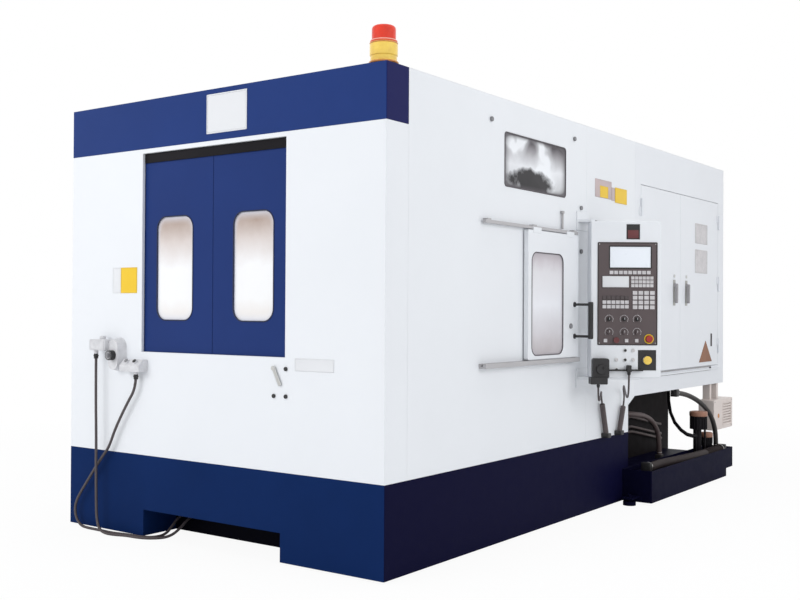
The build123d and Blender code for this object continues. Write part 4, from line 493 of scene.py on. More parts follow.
def button(name, place, way, radius, reach, mat, body="machine", segments=24, dish=0.25):
    # a round cap: a short cylinder, its outer face inset and pushed in
    way = Vector(way).normalized()
    obj = startShape(name, "cylinder", vertices=segments, radius=radius, depth=reach,
                     location=Vector(place) + way * reach / 2)
    faceAlong(obj, way)
    applyPlace(obj)
    bevel(obj, min(radius, reach) * 0.22)
    activate(obj)
    pickFaces(obj, way, 0.99)
    bpy.ops.mesh.inset(thickness=radius * 0.3, depth=-radius * dish * 0.3)
    objectMode()
    return finishPiece(obj, mat, body) if body else obj


def ring(name, centre, radius, thick, axis, mat, body="machine"):
    obj = startShape(name, "torus", major_radius=radius, minor_radius=thick, major_segments=64, minor_segments=12)
    faceAlong(obj, axis)
    obj.location = centre
    applyPlace(obj)
    return finishPiece(obj, mat, body, smooth=60) if body else obj


def roundFrame(name, centre, size, radius, width, thickness, plane, mat, body="machine", slotName="black_plastic"):
    # a rubber frame round a window: a plane with rounded corners, inset to a ring and thickened
    obj = startShape(name, "plane", size=1, location=(0, 0, 0))
    obj.scale = (size[0], size[1], 1)
    applyPlace(obj)
    editAll("VERT")
    bpy.ops.mesh.bevel(offset=radius, segments=10, affect="VERTICES")
    bpy.ops.mesh.select_all(action="SELECT")
    bpy.ops.mesh.inset(thickness=width, depth=0, use_select_inset=False)
    bpy.ops.mesh.delete(type="ONLY_FACE")
    bpy.ops.mesh.select_all(action="SELECT")
    objectMode()
    applyModifier(obj, "SOLIDIFY", thickness=thickness, offset=0)
    bevel(obj, min(width, thickness) * 0.35, 3)
    obj.rotation_euler = {"front": (math.pi / 2, 0, 0), "side": (math.pi / 2, 0, math.pi / 2)}[plane]
    obj.location = centre
    applyPlace(obj)
    recalcNormals(obj)
    return finishPiece(obj, mat, body)


# camera, floor and light
scene = bpy.context.scene
scene.view_settings.view_transform = "Standard"
cameraData = bpy.data.cameras.new("viewCamera")
cameraData.sensor_width = 36.0
cameraData.clip_end = 200
camera = bpy.data.objects.new("viewCamera", cameraData)
scene.collection.objects.link(camera)
view = {"angles": (35.79, 0.558, 0.32), "place": (4.196, -6.452, 1.312), "lens": 47.41}
cameraData.lens = view["lens"]
azimuth, pitch, roll = (math.radians(v) for v in view["angles"])
forward = Vector((-math.sin(azimuth) * math.cos(pitch), math.cos(azimuth) * math.cos(pitch), math.sin(pitch)))
level = Vector((math.cos(azimuth), math.sin(azimuth), 0))
upward = level.cross(forward)
rightAxis = level * math.cos(roll) + upward * math.sin(roll)
upAxis = upward * math.cos(roll) - level * math.sin(roll)
turned = Matrix((rightAxis, upAxis, -forward)).transposed().to_4x4()
camera.matrix_world = Matrix.Translation(view["place"]) @ turned
scene.camera = camera

floorMat, floorTree, floorShader = newMaterial("paleFloor")
setInputs(floorShader, {"Base Color": (0.92, 0.92, 0.92, 1), "Roughness": 0.9, "Specular IOR Level": 0.1})
glow = addNode(floorTree, "Emission", Strength=1.0)
rays = addNode(floorTree, "LightPath")
seen = addNode(floorTree, "Math", operation="MULTIPLY")
blendShader = addNode(floorTree, "MixShader")
floorPlace = addNode(floorTree, "TexCoord")
away = addNode(floorTree, "VectorMath", operation="LENGTH")
fade = addNode(floorTree, "MapRange")
setInputs(fade, {"From Min": 3.0, "From Max": 6.5, "To Min": 0.93, "To Max": 1.0})
wire(floorTree, (floorPlace.outputs["Object"], away.inputs[0]), (away.outputs["Value"], fade.inputs["Value"]),
     (rays.outputs["Is Camera Ray"], seen.inputs[0]), (fade.outputs[0], seen.inputs[1]),
     (seen.outputs[0], blendShader.inputs["Fac"]), (floorShader.outputs["BSDF"], blendShader.inputs[1]),
     (glow.outputs["Emission"], blendShader.inputs[2]),
     (blendShader.outputs["Shader"], floorTree.nodes["Material Output"].inputs["Surface"]))
floor = startShape("studioFloor", "plane", size=90, location=(0, 0, 0))
floor.data.materials.append(floorMat)

world = bpy.data.worlds.new("studioWorld")
scene.world = world
world.use_nodes = True
wTree = world.node_tree
ambient = wTree.nodes["Background"]
setInputs(ambient, {"Color": (0.95, 0.97, 1.0, 1), "Strength": 0.60})
paleBack = addNode(wTree, "Background", Strength=1.0)
paleBack.inputs["Color"].default_value = (1, 1, 1, 1)
path = addNode(wTree, "LightPath")
anyRay = addNode(wTree, "Math", operation="MAXIMUM")
either = addNode(wTree, "Math", operation="MAXIMUM")
backMix = addNode(wTree, "MixShader")
wire(wTree, (path.outputs["Is Camera Ray"], anyRay.inputs[0]), (path.outputs["Is Glossy Ray"], anyRay.inputs[1]),
     (anyRay.outputs[0], either.inputs[0]), (path.outputs["Is Transmission Ray"], either.inputs[1]),
     (either.outputs[0], backMix.inputs["Fac"]), (ambient.outputs["Background"], backMix.inputs[1]),
     (paleBack.outputs["Background"], backMix.inputs[2]),
     (backMix.outputs["Shader"], wTree.nodes["World Output"].inputs["Surface"]))


def areaLamp(name, place, target, size, watts):
    data = bpy.data.lights.new(name, "AREA")
    data.shape = "RECTANGLE"
    data.size, data.size_y = size
    data.energy = watts
    lamp = bpy.data.objects.new(name, data)
    scene.collection.objects.link(lamp)
    lamp.location = place
    lamp.rotation_euler = (Vector(target) - Vector(place)).to_track_quat("-Z", "Y").to_euler()
    lamp.visible_camera = False
    lamp.visible_glossy = False
    return lamp


lamps = {
    "frontLamp": {"place": (-2.5, -9.5, 4.5), "target": (0, -2.4, 1.2), "size": (6, 4), "watts": 300},
    "sideLamp": {"place": (8.5, -1.5, 4.5), "target": (1.2, 0.5, 1.2), "size": (6, 4), "watts": 195},
    "topLamp": {"place": (0, 0, 8.0), "target": (0, 0, 0), "size": (7, 7), "watts": 200},
}
makeAll(areaLamp, lamps)
print("camera, floor and light set")


# cords
def makeCord(name, points, radius, mat, slotName, node, stiffness, lay):
    curve = bpy.data.curves.new(name, "CURVE")
    curve.dimensions = "3D"
    curve.bevel_depth = radius
    curve.bevel_resolution = 4
    curve.use_fill_caps = True
    curve.resolution_u = 10
    spline = curve.splines.new("NURBS")
    spline.points.add(len(points) - 1)
    for point, place in zip(spline.points, points):
        point.co = (*[c / 1000 for c in place], 1)
    spline.order_u = 3
    spline.use_endpoint_u = True
    obj = bpy.data.objects.new(name, curve)
    scene.collection.objects.link(obj)
    curve.materials.append(mat)
    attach(obj, "machine")
    probe = curve.copy()
    probe.bevel_depth = 0
    holder = bpy.data.objects.new("probe", probe)
    scene.collection.objects.link(holder)
    track = bpy.data.meshes.new_from_object(holder)
    bpy.data.objects.remove(holder)
    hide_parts(node)


def plinthPoint(spot, height, start, mouth):
    # along the level line from the console's socket to the conduit's mouth
    way = Vector((mouth[0] - start[0], mouth[1] - start[1], 0)).normalized()
    return (start[0] + way.x * spot, start[1] + way.y * spot, height)


frontCableA = [(-881, -2465, 1047), (-881, -2465, 810), (-874, -2465, 575), (-871, -2466, 345), (-868, -2465, 165),
               (-862, -2466, 85), (-838, -2470, 28), (-785, -2476, 8.6), (-706, -2477, 8.6), (-625, -2446, 8.6),
               (-520, -2442, 8.6), (-440, -2405, 8.6), (-385, -2330, 11.6), (-362, -2262, 59.6), (-360, -2205, 109.6),
               (-360, -2145, 109.6)]
frontCableB = [(-558, -2439, 937), (-558, -2439, 860), (-634, -2439, 765), (-737, -2440, 610), (-790, -2439, 500),
               (-870, -2440, 420), (-985, -2439, 285), (-1060, -2440, 195), (-1090, -2441, 143), (-1095, -2442, 97),
               (-1079, -2443, 54), (-1046, -2443, 22), (-1005, -2442, 8.6), (-865, -2440, 8.6), (-740, -2448, 8.6),
               (-630, -2421, 8.6), (-520, -2418, 8.6), (-460, -2380, 8.6), (-445, -2310, 13.6), (-440, -2255, 61.6),
               (-440, -2205, 109.6), (-440, -2145, 109.6)]
archHose = [(1172, 1390, 687), (1180, 1510, 675), (1200, 1642, 643), (1224, 1766, 594), (1248, 1866, 527),
            (1262, 1926, 463), (1271, 1968, 387), (1276, 1988, 302), (1276, 1988, 189)]
trayHose = [(1364, 1845, 217), (1364, 1495, 227), (1360, 1295, 227), (1342, 1075, 227), (1312, 855, 227),
            (1296, 655, 227), (1296, 535, 217)]
drainHose = [(890, 695, 572), (1000, 695, 572), (1086, 785, 564), (1096, 955, 542), (1096, 1125, 482),
             (1096, 1245, 362), (1096, 1245, 189)]

handwheelStart, consoleStart = consoleSpot(0.040, 0.848, 0.040) * 1000, consoleSpot(0.234, 0.925, 0.022) * 1000
mouthA, mouthB = (1218, -38, 702), (1218, 297, 665)
handwheelLine = [(0, 860), (0, 805), (38, 762), (100, 748), (180, 756), (256, 778), (324, 792)]
consoleLine = [(0, 937), (0, 862), (48, 800), (125, 768), (225, 760), (325, 768), (415, 782), (506, 799), (596, 812),
               (654, 781)]
handwheelCable = [plinthPoint(s, z, handwheelStart, mouthA) for s, z in handwheelLine]
handwheelCable += [(1218, -55.5, 759.4), mouthA]
consoleCable = [plinthPoint(s, z, consoleStart, mouthB) for s, z in consoleLine]
consoleCable += [(1218, 318.5, 723.1), mouthB]

cable = {"mat": cableGrey, "slotName": "cable_grey", "lay": "hanging"}
hose = {"slotName": "hose_black", "node": "coolant_hoses", "stiffness": "stiff", "lay": "hanging", "radius": 0.019}
cords = {
    "frontCableA": {**cable, "points": frontCableA, "radius": 0.008, "node": "front_cable_a", "stiffness": "medium"},
    "frontCableB": {**cable, "points": frontCableB, "radius": 0.008, "node": "front_cable_b", "stiffness": "medium"},
    "handwheelCable": {**cable, "points": handwheelCable, "radius": 0.006, "node": "handwheel_cable",
                       "stiffness": "limp"},
    "consoleCable": {**cable, "points": consoleCable, "radius": 0.006, "node": "console_cable", "stiffness": "limp"},
    "archHose": {**hose, "points": archHose, "mat": hoseRubber},
    "trayHose": {**hose, "points": trayHose, "mat": hoseDark, "radius": 0.032, "lay": "loose"},
    "drainHose": {**hose, "points": drainHose, "mat": hoseBrown},
}
makeAll(makeCord, cords)
print("cords made")


def copiesAt(obj, places, name):
    # the modelled piece stays at the first place, and copies with their own mesh take the others
    made = [obj]
    for place in places[1:]:
        twin = obj.copy()
        twin.data = obj.data.copy()
        scene.collection.objects.link(twin)
        twin.location = obj.location + Vector(place) - Vector(places[0])
        made.append(twin)
    joined = joinPieces(made, name)
    applyPlace(joined)
    return joined


def toConsole(obj):
    # from the console's own axes (x right, -y out of the face) to the machine's
    obj.location = faceCorner + Vector((0, 0, baseZ))
    obj.rotation_euler = (0, 0, turn)
    applyPlace(obj)


def cap(name, size, place, rounding, dish=0.0):
    # a key or cover: a bevelled block whose outer face (-y) is dished
    obj = block(name, (-size[0] / 2, -size[1], -size[2] / 2), (size[0] / 2, 0, size[2] / 2), rounding)
    if dish:
        sinkFace(obj, toFront, rounding * 0.8, dish)
    obj.location = place
    applyPlace(obj)
    return obj


def consoleCaps(name, size, spots, proud, rounding, mat=None, slotName="console_brown", dish=0.0004, body="console"):
    places = [(u, -proud, z) for u, z in spots]
    obj = cap(name, size, places[0], rounding, dish)
    obj = copiesAt(obj, places, name)
    toConsole(obj)
    return finishPiece(obj, mat or keyPale, body)


def gland(name, place, radius, length, body="machine"):
    # a cable gland with a tapered, ribbed relief, pointing down from its place
    obj = startShape(name, "circle", vertices=32, radius=radius * 1.55, location=(0, 0, 0))
    editAll("VERT")
    step, level, width = length / 12, 0.0, radius * 1.55
    profile = [(2.0, 1.0), (0.0, 1.22), (2.6, 1.0), (0.0, 0.82)]
    profile += [(1.0, 0.97), (0.0, 1.07)] * 3 + [(0.9, 0.95)]
    for rise, scale in profile:
        bpy.ops.mesh.extrude_region_move(TRANSFORM_OT_translate={"value": (0, 0, -step * rise)})
        level -= step * rise
        width *= scale
        bpy.ops.transform.resize(value=(scale, scale, 1), center_override=(0, 0, level))
    narrow = radius * 1.04 / width
    bpy.ops.transform.resize(value=(narrow, narrow, 1), center_override=(0, 0, level))
    objectMode()
    applyModifier(obj, "SOLIDIFY", thickness=0.0008, offset=-1)
    obj.location = place
    applyPlace(obj)
    recalcNormals(obj)
    return finishPiece(obj, blackPlastic, body)


def screws(name, places, way, body="machine", radius=0.006):
    # button-head screws with a hexagon socket
    obj = startShape(name, "cylinder", vertices=24, radius=radius, depth=radius * 0.9)
    bevel(obj, radius * 0.3, 3)
    activate(obj)
    pickFaces(obj, (0, 0, 1), 0.999)
    bpy.ops.mesh.inset(thickness=radius * 0.32, depth=0)
    bpy.ops.mesh.inset(thickness=radius * 0.02, depth=-radius * 0.4)
    objectMode()
    faceAlong(obj, way)
    applyPlace(obj)
    obj.location = places[0]
    obj = copiesAt(obj, places, name)
    return finishPiece(obj, zincSteel, body)


# cable glands
glands = {
    "glandA": {"place": (-0.881, -2.465, 1.047), "radius": 0.008, "length": 0.042},
    "glandB": {"place": (-0.558, -2.439, 0.937), "radius": 0.008, "length": 0.042},
    "glandPendant": {"place": consoleSpot(0.040, 0.848, 0.040), "radius": 0.006, "length": 0.03, "body": "console"},
    "glandConsole": {"place": consoleSpot(0.234, 0.925, 0.022), "radius": 0.006, "length": 0.03, "body": "console"},
}
makeAll(gland, glands)

# loading doors: rubber round the windows
rubberY = frontY + 0.022 - 0.0005
windowRubbers = {
    "windowRubberLeft": {"centre": (-0.303, rubberY, 1.542), "body": "loading_door_left"},
    "windowRubberRight": {"centre": (0.303, rubberY, 1.542), "body": "loading_door_right"},
}
makeAll(roundFrame, windowRubbers, size=(0.300, 0.594), radius=0.074, width=0.007, thickness=0.004, plane="front",
        mat=rubberNavy)
print("glands and window rubbers made")

# front face: bare sign plate on the header, labels, plate, buttons and the small lever
label = {"rim": 0.003, "depth": 0.0003, "rounding": 0.001}
frontPlates = {
    "signPlate": {"low": (-0.031, frontY - 0.004, 2.268), "high": (0.272, frontY, 2.484), "rim": 0.008,
                  "depth": 0.0008},
    "frontLabelPale": {"low": (-0.808, frontY - 0.002, 1.403), "high": (-0.735, frontY, 1.552), **label},
    "frontLabelYellow": {"low": (-0.735, frontY - 0.0022, 1.403), "high": (-0.594, frontY, 1.552),
                         "mat": yellowPlate, **label},
    "doorPlate": {"low": (0.621, frontY - 0.003, 0.999), "high": (0.878, frontY, 1.065), "rim": 0.004,
                  "depth": 0.0005, "rounding": 0.002},
}
makeAll(plate, frontPlates, way=toFront, mat=palePlate)
for index, (x, z) in enumerate(((0.478, 0.865), (0.561, 0.866), (0.560, 1.007))):
    button(f"frontButton{index}", (x, frontY, z), toFront, 0.011, 0.008, blackPlastic)
doorLever = {"tilt": -28, "place": (0.503, frontY, 0.966)}
lever = block("doorLever", (-0.010, -0.014, -0.052), (0.010, -0.003, 0.052), 0.004, 3)
sinkFace(lever, toFront, 0.003, 0.001)
lever.rotation_euler = (0, math.radians(doorLever["tilt"]), 0)
lever.location = doorLever["place"]
applyPlace(lever)
finishPiece(lever, drawnSteel)
button("leverPivot", (0.481, frontY, 1.009), toFront, 0.012, 0.018, drawnSteel)

# junction box, push-button box and the round socket
plate("junctionLid", (-0.906, frontY - 0.0895, 1.072), (-0.778, frontY - 0.086, 1.128), toFront, boxGrey, rim=0.005,
      depth=0.001)
button("junctionNub", (-0.842, frontY - 0.043, 1.133), toTop, 0.019, 0.020, boxGrey)
for index, (x, mat) in enumerate(((-0.619, greyPlastic), (-0.547, blackPlastic))):
    button(f"boxButton{index}", (x, frontY - 0.0558, 1.0138), (0, -1, 1), 0.0115, 0.004, mat)
socketX, socketZ = -0.734, 1.042
ring("nozzleCollar", (socketX, frontY - 0.0475, socketZ), 0.033, 0.005, toBack, boxGrey)
nozzle = button("nozzleSleeve", (socketX, frontY - 0.052, socketZ), toFront, 0.0285, 0.042, blackPlastic, body=None,
                segments=40, dish=0)
activate(nozzle)
pickFaces(nozzle, toFront, 0.99)
bpy.ops.mesh.inset(thickness=0.003, depth=-0.030)
objectMode()
finishPiece(nozzle, blackPlastic)

# side face: rubbers, labels, knobs and plates
operatorFace = sideX + 0.036
sideRubbers = {
    "operatorRubber": {"centre": (operatorFace + 0.0005, -0.8235, 1.354), "size": (0.402, 0.612), "radius": 0.058,
                       "body": "side_door"},
    "inspectionRubber": {"centre": (sideX + 0.001, -0.9025, 2.1735), "size": (0.757, 0.309), "radius": 0.022},
}
makeAll(roundFrame, sideRubbers, width=0.006, thickness=0.004, plane="side", mat=rubberGrey)
sideLabels = {
    "sideLabelOnePale": (-0.105, 0.150, 2.066, 2.186), "sideLabelOneYellow": (-0.030, 0.095, 2.068, 2.146),
    "sideLabelTwoPale": (0.150, 0.205, 2.062, 2.150), "sideLabelTwoYellow": (0.207, 0.400, 2.052, 2.156)}
for name, (y0, y1, z0, z1) in sideLabels.items():
    thick, mat = (0.0018, labelBrown) if name.endswith("Pale") else (0.0028, yellowPlate)
    plate(name, (sideX, y0, z0), (sideX + thick, y1, z1), toRight, mat, rim=0.003, depth=0.0003, rounding=0.0008)
for index, (y, z) in enumerate(((-1.432, 2.375), (-0.412, 2.402), (-0.316, 1.972), (-0.313, 1.694))):
    button(f"sideKnob{index}", (sideX, y, z), toRight, 0.014, 0.012, greyPlastic)
button("doorLock", (operatorFace, -0.526, 1.220), toRight, 0.016, 0.010, greyPlastic, body="side_door")
for index, (z0, z1) in enumerate(((1.860, 2.021), (1.623, 1.812))):
    plate(f"cabinetPlate{index}", (sideX, 1.732, z0), (sideX + 0.002, 2.008, z1), toRight, keyPale,
          body="cabinet_door_b", depth=0.0005, rounding=0.001)

# the black strip of painted shade over the loading doors, the dark wedge of painted shade under the console bracket
# and the bars under the cabinet doors
# painted shade: a black strip standing in for the shade under the top of the door opening
topShadeStrip = block("doorTopShade", (-0.550, frontY + 0.0150, 2.150), (0.550, frontY + 0.0175, 2.2045), 0.0008)
sinkFace(topShadeStrip, toFront, 0.004, 0.0006)
finishPiece(topShadeStrip, blackPaint)
# painted shade: a dark tapered piece standing in for the shade under the console's top bracket
wedge = startBlock("bracketShadeWedge", (sideX + 0.0062, -0.178, 1.886), (sideX + 0.020, 0.075, 1.908))
activate(wedge)
pickFaces(wedge, toBack)
bpy.ops.transform.resize(value=(0.4, 1, 0.2), center_override=(sideX + 0.0062, 0.075, 1.897))
objectMode()
bevel(wedge, 0.002, 3)
finishPiece(wedge, blackPlastic)
bars = [block("seamBar", (sideX, 0.985, z - 0.0045), (sideX + 0.004, 2.095, z + 0.0045), 0.0012)
        for z in (0.838, 0.865)]
finishPiece(joinPieces(bars, "cabinetSeam"), latchGrey)
button("sillStop", (sideX + 0.002, 2.075, 0.852), toRight, 0.011, 0.008, blackPlastic)
print("front and side plates made")

# conduits: a corrugated sleeve from a ring extruded and drawn in again and again
sleeveSettings = {"radius": 0.0135, "pitch": 0.008, "swell": 1.17, "wall": 0.002}
conduitPairs = [((1.218, 0.026, 0.492), (1.218, -0.038, 0.702)), ((1.218, 0.233, 0.492), (1.218, 0.297, 0.665))]
swell = sleeveSettings["swell"]
for index, (foot, mouth) in enumerate(conduitPairs):
    run = Vector(mouth) - Vector(foot)
    sleeve = startShape(f"conduitSleeve{index}", "circle", vertices=36, radius=sleeveSettings["radius"])
    editAll("VERT")
    ribs = int(run.length / sleeveSettings["pitch"])
    rise = run.length / ribs
    for rib in range(ribs):
        for share, scale in ((0.18, swell), (0.32, 1.0), (0.18, 1 / swell), (0.32, 1.0)):
            bpy.ops.mesh.extrude_region_move(TRANSFORM_OT_translate={"value": (0, 0, rise * share)})
            if scale != 1.0:
                bpy.ops.transform.resize(value=(scale, scale, 1), center_override=(0, 0, 0))
    objectMode()
    applyModifier(sleeve, "SOLIDIFY", thickness=sleeveSettings["wall"], offset=-1)
    faceAlong(sleeve, run)
    sleeve.location = foot
    applyPlace(sleeve)
    recalcNormals(sleeve)
    finishPiece(sleeve, conduitBrown, smooth=50)
    base = cap(f"conduitFoot{index}", (0.052, 0.050, 0.030), (foot[0], foot[1] + 0.025, foot[2] - 0.002), 0.004)
    finishPiece(base, blackPlastic)
    if index == 0:
        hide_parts("cable_conduits")
print("conduits made")

# console panel: keys, dials, small buttons and the lower panel's switches
rowTwo = 0.0045  # how far the keys' plane stands out
leftX = [0.153 + 0.028 * (i - 2.5) for i in range(6)]
keyBlocks = {
    "softKeys": {"size": (0.024, 0.0025, 0.022), "spots": [(0.243 + 0.029 * (i - 4), 1.544) for i in range(9)]},
    "leftKeysDark": {"size": (0.024, 0.0028, 0.022), "spots": [(x, 1.386) for x in leftX], "mat": keyDark},
    "leftKeysPale": {"size": (0.024, 0.0028, 0.022),
                     "spots": [(x, 1.358 - 0.028 * j) for x in leftX for j in range(2)]},
    "rightKeys": {"size": (0.029, 0.0028, 0.024),
                  "spots": [(0.328 + 0.036 * (i - 1.5), 1.372 + 0.030 * (j - 1.5))
                            for i in range(4) for j in range(4)]},
    "blankPlate": {"size": (0.165, 0.0016, 0.070), "spots": [(0.153, 1.486)], "proud": rowTwo - 0.0005,
                   "rounding": 0.001, "mat": palePlate},
    "padKeys": {"size": (0.0205, 0.0018, 0.0195), "proud": rowTwo - 0.0005, "rounding": 0.001,
                "spots": [(0.2600 + 0.0237 * i, 1.462 + 0.024 * j) for i in range(6) for j in range(3)]},
}
makeAll(consoleCaps, keyBlocks, proud=rowTwo - 0.001, rounding=0.0012)


def consoleFrame(name, size, radius, width, place, mat, slotName):
    frameRim = roundFrame(name, (0, 0, 0), size, radius, width, 0.0035, "front", mat, "console", slotName)
    frameRim.location = place
    applyPlace(frameRim)
    toConsole(frameRim)


consoleFrame("screenRim", (0.268, 0.144), 0.008, 0.007, (0.245, -0.0018, 1.640), rubberBlack, "black_plastic")
dialSpots = [(u, z) for z in (1.252, 1.171) for u in (0.113, 0.207, 0.288)]
dialBodies = ("feed_dial", "spindle_dial", "mode_dial", "console", "console", "console")
for index, ((u, z), body) in enumerate(zip(dialSpots, dialBodies)):
    angles = [math.radians(a) for a in range(-120, 121, 20)]
    ticks = [(u + 0.025 * math.sin(a), z + 0.025 * math.cos(a)) for a in angles]
    consoleCaps(f"dialTicks{index}", (0.0045, 0.0006, 0.0045), ticks, 0.001, 0.0003, dish=0)
    consoleCaps(f"knobMark{index}", (0.003, 0.0012, 0.013), [(u, z + 0.004)], 0.0195, 0.0004, dish=0, body=body)
consoleCaps("smallButtons", (0.022, 0.007, 0.022), [(0.090, 1.118), (0.222, 1.118), (0.285, 1.118)], 0.001, 0.002,
            dish=0.001)
button("startButton", consoleSpot(0.157, 1.121, 0.0125), outOfFace, 0.0185, 0.004, darkRed, "console")
ring("stopPlate", consoleSpot(0.362, 1.129, 0.003), 0.0265, 0.0035, outOfFace, yellowPlate, "console")  # wider inside than the stop button's cap, which is pressed into it
darkCap = {"mat": blackPlastic, "slotName": "black_plastic"}
lowerPanel = {
    "displayBack": {"size": (0.082, 0.004, 0.093), "spots": [(0.2625, 1.799)], "proud": -0.0046, "rounding": 0.001,
                    "dish": 0.0006, **darkCap},
    "displayRed": {"size": (0.068, 0.0012, 0.052), "spots": [(0.2625, 1.784)], "proud": -0.0006, "rounding": 0.0005,
                   "dish": 0, "mat": darkRed, "slotName": "button_red"},
    "lampPanel": {"size": (0.112, 0.004, 0.126), "spots": [(0.351, 0.996)], "proud": -0.0046, "rounding": 0.0015,
                  "dish": 0.0006, **darkCap},
}
makeAll(consoleCaps, lowerPanel)
button("amberDome", consoleSpot(0.351, 0.996, 0.0102), outOfFace, 0.0262, 0.010, amberLens, "console",
       segments=40, dish=-0.4)
switchSpots = [(0.159, 0.998), (0.213, 0.998), (0.264, 0.998), (0.213, 1.057), (0.264, 1.057), (0.159, 0.937)]
for index, (u, z) in enumerate(switchSpots):
    button(f"switchCap{index}", consoleSpot(u, z, 0.0005), outOfFace, 0.0115, 0.004, drawnSteel, "console",
           dish=0)
    button(f"switchHead{index}", consoleSpot(u, z, 0.009), outOfFace, 0.0085, 0.004,
           blackPlastic if index % 2 else keyPale, "console")
consoleCaps("shelfBar", (0.235, 0.024, 0.010), [(0.205, 0.9335)], 0.0002, 0.002, dish=0, **darkCap)
consoleCaps("plugShell", (0.028, 0.038, 0.042), [(0.234, 0.944)], 0.0002, 0.004, dish=0.001, **darkCap)
consoleFrame("panelRim", (0.374, 0.644), 0.006, 0.006, (0.2275, -0.0015, 1.4115), consoleDark, "console_brown")
screwSpots = [(0.052, 1.102), (0.403, 1.102), (0.052, 1.721), (0.403, 1.721)]
screws("panelScrews", [consoleSpot(u, z, 0.002) for u, z in screwSpots], outOfFace, "console", radius=0.004)
print("console dressed")

# signal light: coloured rims at the foot of each lens, and a black ring of painted shade at the light's foot
lightSpot = Vector((1.092, -2.295, 0))
lightRims = [("redRim", 2.637, 0.0625, 0.0055, rimPink), ("amberRim", 2.6265, 0.0665, 0.0045, rimOrange),
             ("amberFoot", 2.530, 0.0690, 0.0060, rimOrange), ("lightFootShade", 2.518, 0.0725, 0.0060, rubberBlack)]
for name, height, radius, thick, mat in lightRims:
    ring(name, lightSpot + Vector((0, 0, height)), radius, thick, toTop, mat)

# hose couplings on the cabinet's underside and the tray
couplingCorners = [((1.145, 1.337, 0.660), (1.199, 1.391, 0.716)), ((1.329, 1.844, 0.190), (1.399, 1.880, 0.262)),
                   ((1.261, 0.500, 0.190), (1.331, 0.536, 0.262)), ((1.250, 1.962, 0.190), (1.302, 2.010, 0.224)),
                   ((1.070, 1.219, 0.190), (1.122, 1.271, 0.224))]
couplings = [block("couplingBlock", low, high, 0.006, 3) for low, high in couplingCorners]
finishPiece(joinPieces(couplings, "hoseCouplings"), blackPlastic)
clamps = [((1.1725, 1.402, 0.6862), (0, 1, -0.1), 0.0198), ((1.364, 1.830, 0.227), toBack, 0.0328),
          ((1.296, 0.550, 0.227), toBack, 0.0328), ((1.276, 1.988, 0.240), toTop, 0.0198),
          ((1.096, 1.245, 0.240), toTop, 0.0198)]
for index, (place, axis, radius) in enumerate(clamps):
    ring(f"hoseClamp{index}", place, radius, 0.0022, axis, drawnSteel)
# the thick hose's ribs: one ring copied along its straight stretch
ribPlaces = [(1.364, 1.800 - 0.020 * i, 0.227) for i in range(16)]
rib = ring("hoseRib", ribPlaces[0], 0.0318, 0.0024, toBack, hoseDark, body=None)
finishPiece(copiesAt(rib, ribPlaces, "trayHoseRibs"), hoseDark)


def bedPipe(name, run, radius):
    # a rigid pipe: a ring extruded from point to point
    obj = startShape(name, "circle", vertices=20, radius=radius, fill_type="NGON")
    faceAlong(obj, (Vector(run[1]) - Vector(run[0])).normalized())
    obj.location = run[0]
    applyPlace(obj)
    editAll("FACE")
    for before, after in zip(run, run[1:]):
        bpy.ops.mesh.extrude_region_move(TRANSFORM_OT_translate={"value": Vector(after) - Vector(before)})
    objectMode()
    recalcNormals(obj)
    return obj


pipes = []
for index, (high, out) in enumerate(((0.430, 0.912), (0.392, 0.916), (0.505, 0.910))):
    run = [(0.889, 0.900, high + 0.012), (out, 0.935, high + 0.010), (out, 1.150, high), (out, 1.400, high - 0.045),
           (out, 1.700, high - 0.100), (out - 0.004, 1.745, high - 0.105), (0.884, 1.770, high - 0.106)]
    pipes.append(bedPipe(f"bedPipe{index}", run, 0.010))
finishPiece(joinPieces(pipes, "bedPipes"), hoseBrown)
riser = [(1.272, 1.545, 0.350), (1.262, 1.500, 0.352), (1.235, 1.455, 0.366), (1.195, 1.430, 0.400),
         (1.150, 1.420, 0.455), (1.115, 1.420, 0.530), (1.100, 1.420, 0.620), (1.098, 1.420, 0.716)]
finishPiece(bedPipe("pumpRiser", riser, 0.015), blackPaint)

# coolant pumps: red-brown fan covers with a grille, and terminal box lids
coverPaint = paint("coverPaint", (0.30, 0.15, 0.10), rough=0.45, dirt=0.2)
trayTop, pumpX = 0.189, 1.272
pumps = [{"y": 1.600, "radius": 0.066, "stand": 0.210, "motor": 0.100},
         {"y": 1.780, "radius": 0.046, "stand": 0.060, "motor": 0.070}]
for index, pump in enumerate(pumps):
    y, radius, motor = pump["y"], pump["radius"], pump["motor"]
    motorFoot = trayTop + pump["stand"]
    motorHead = motorFoot + motor
    cover = startShape(f"fanCover{index}", "cylinder", vertices=48, radius=radius + 0.003, depth=0.040,
                       location=(pumpX, y, motorHead + 0.0175))
    applyPlace(cover)
    bevel(cover, 0.009, 4)
    activate(cover)
    pickFaces(cover, toTop, 0.999)
    for share, depth in ((0.14, 0), (0.02, -0.003), (0.10, 0), (0.02, 0.003)) * 2 + ((0.12, 0), (0.02, -0.003)):
        bpy.ops.mesh.inset(thickness=radius * share, depth=depth)
    objectMode()
    finishPiece(cover, coverPaint)
    plate(f"terminalLid{index}", (pumpX - 0.027, y + radius + 0.020, motorFoot + motor * 0.6 - 0.030),
          (pumpX + 0.027, y + radius + 0.026, motorFoot + motor * 0.6 + 0.030), toBack, blackPaint,
          slotName="black_metal", depth=0.001, rounding=0.002)
print("signal light, couplings and pumps dressed")

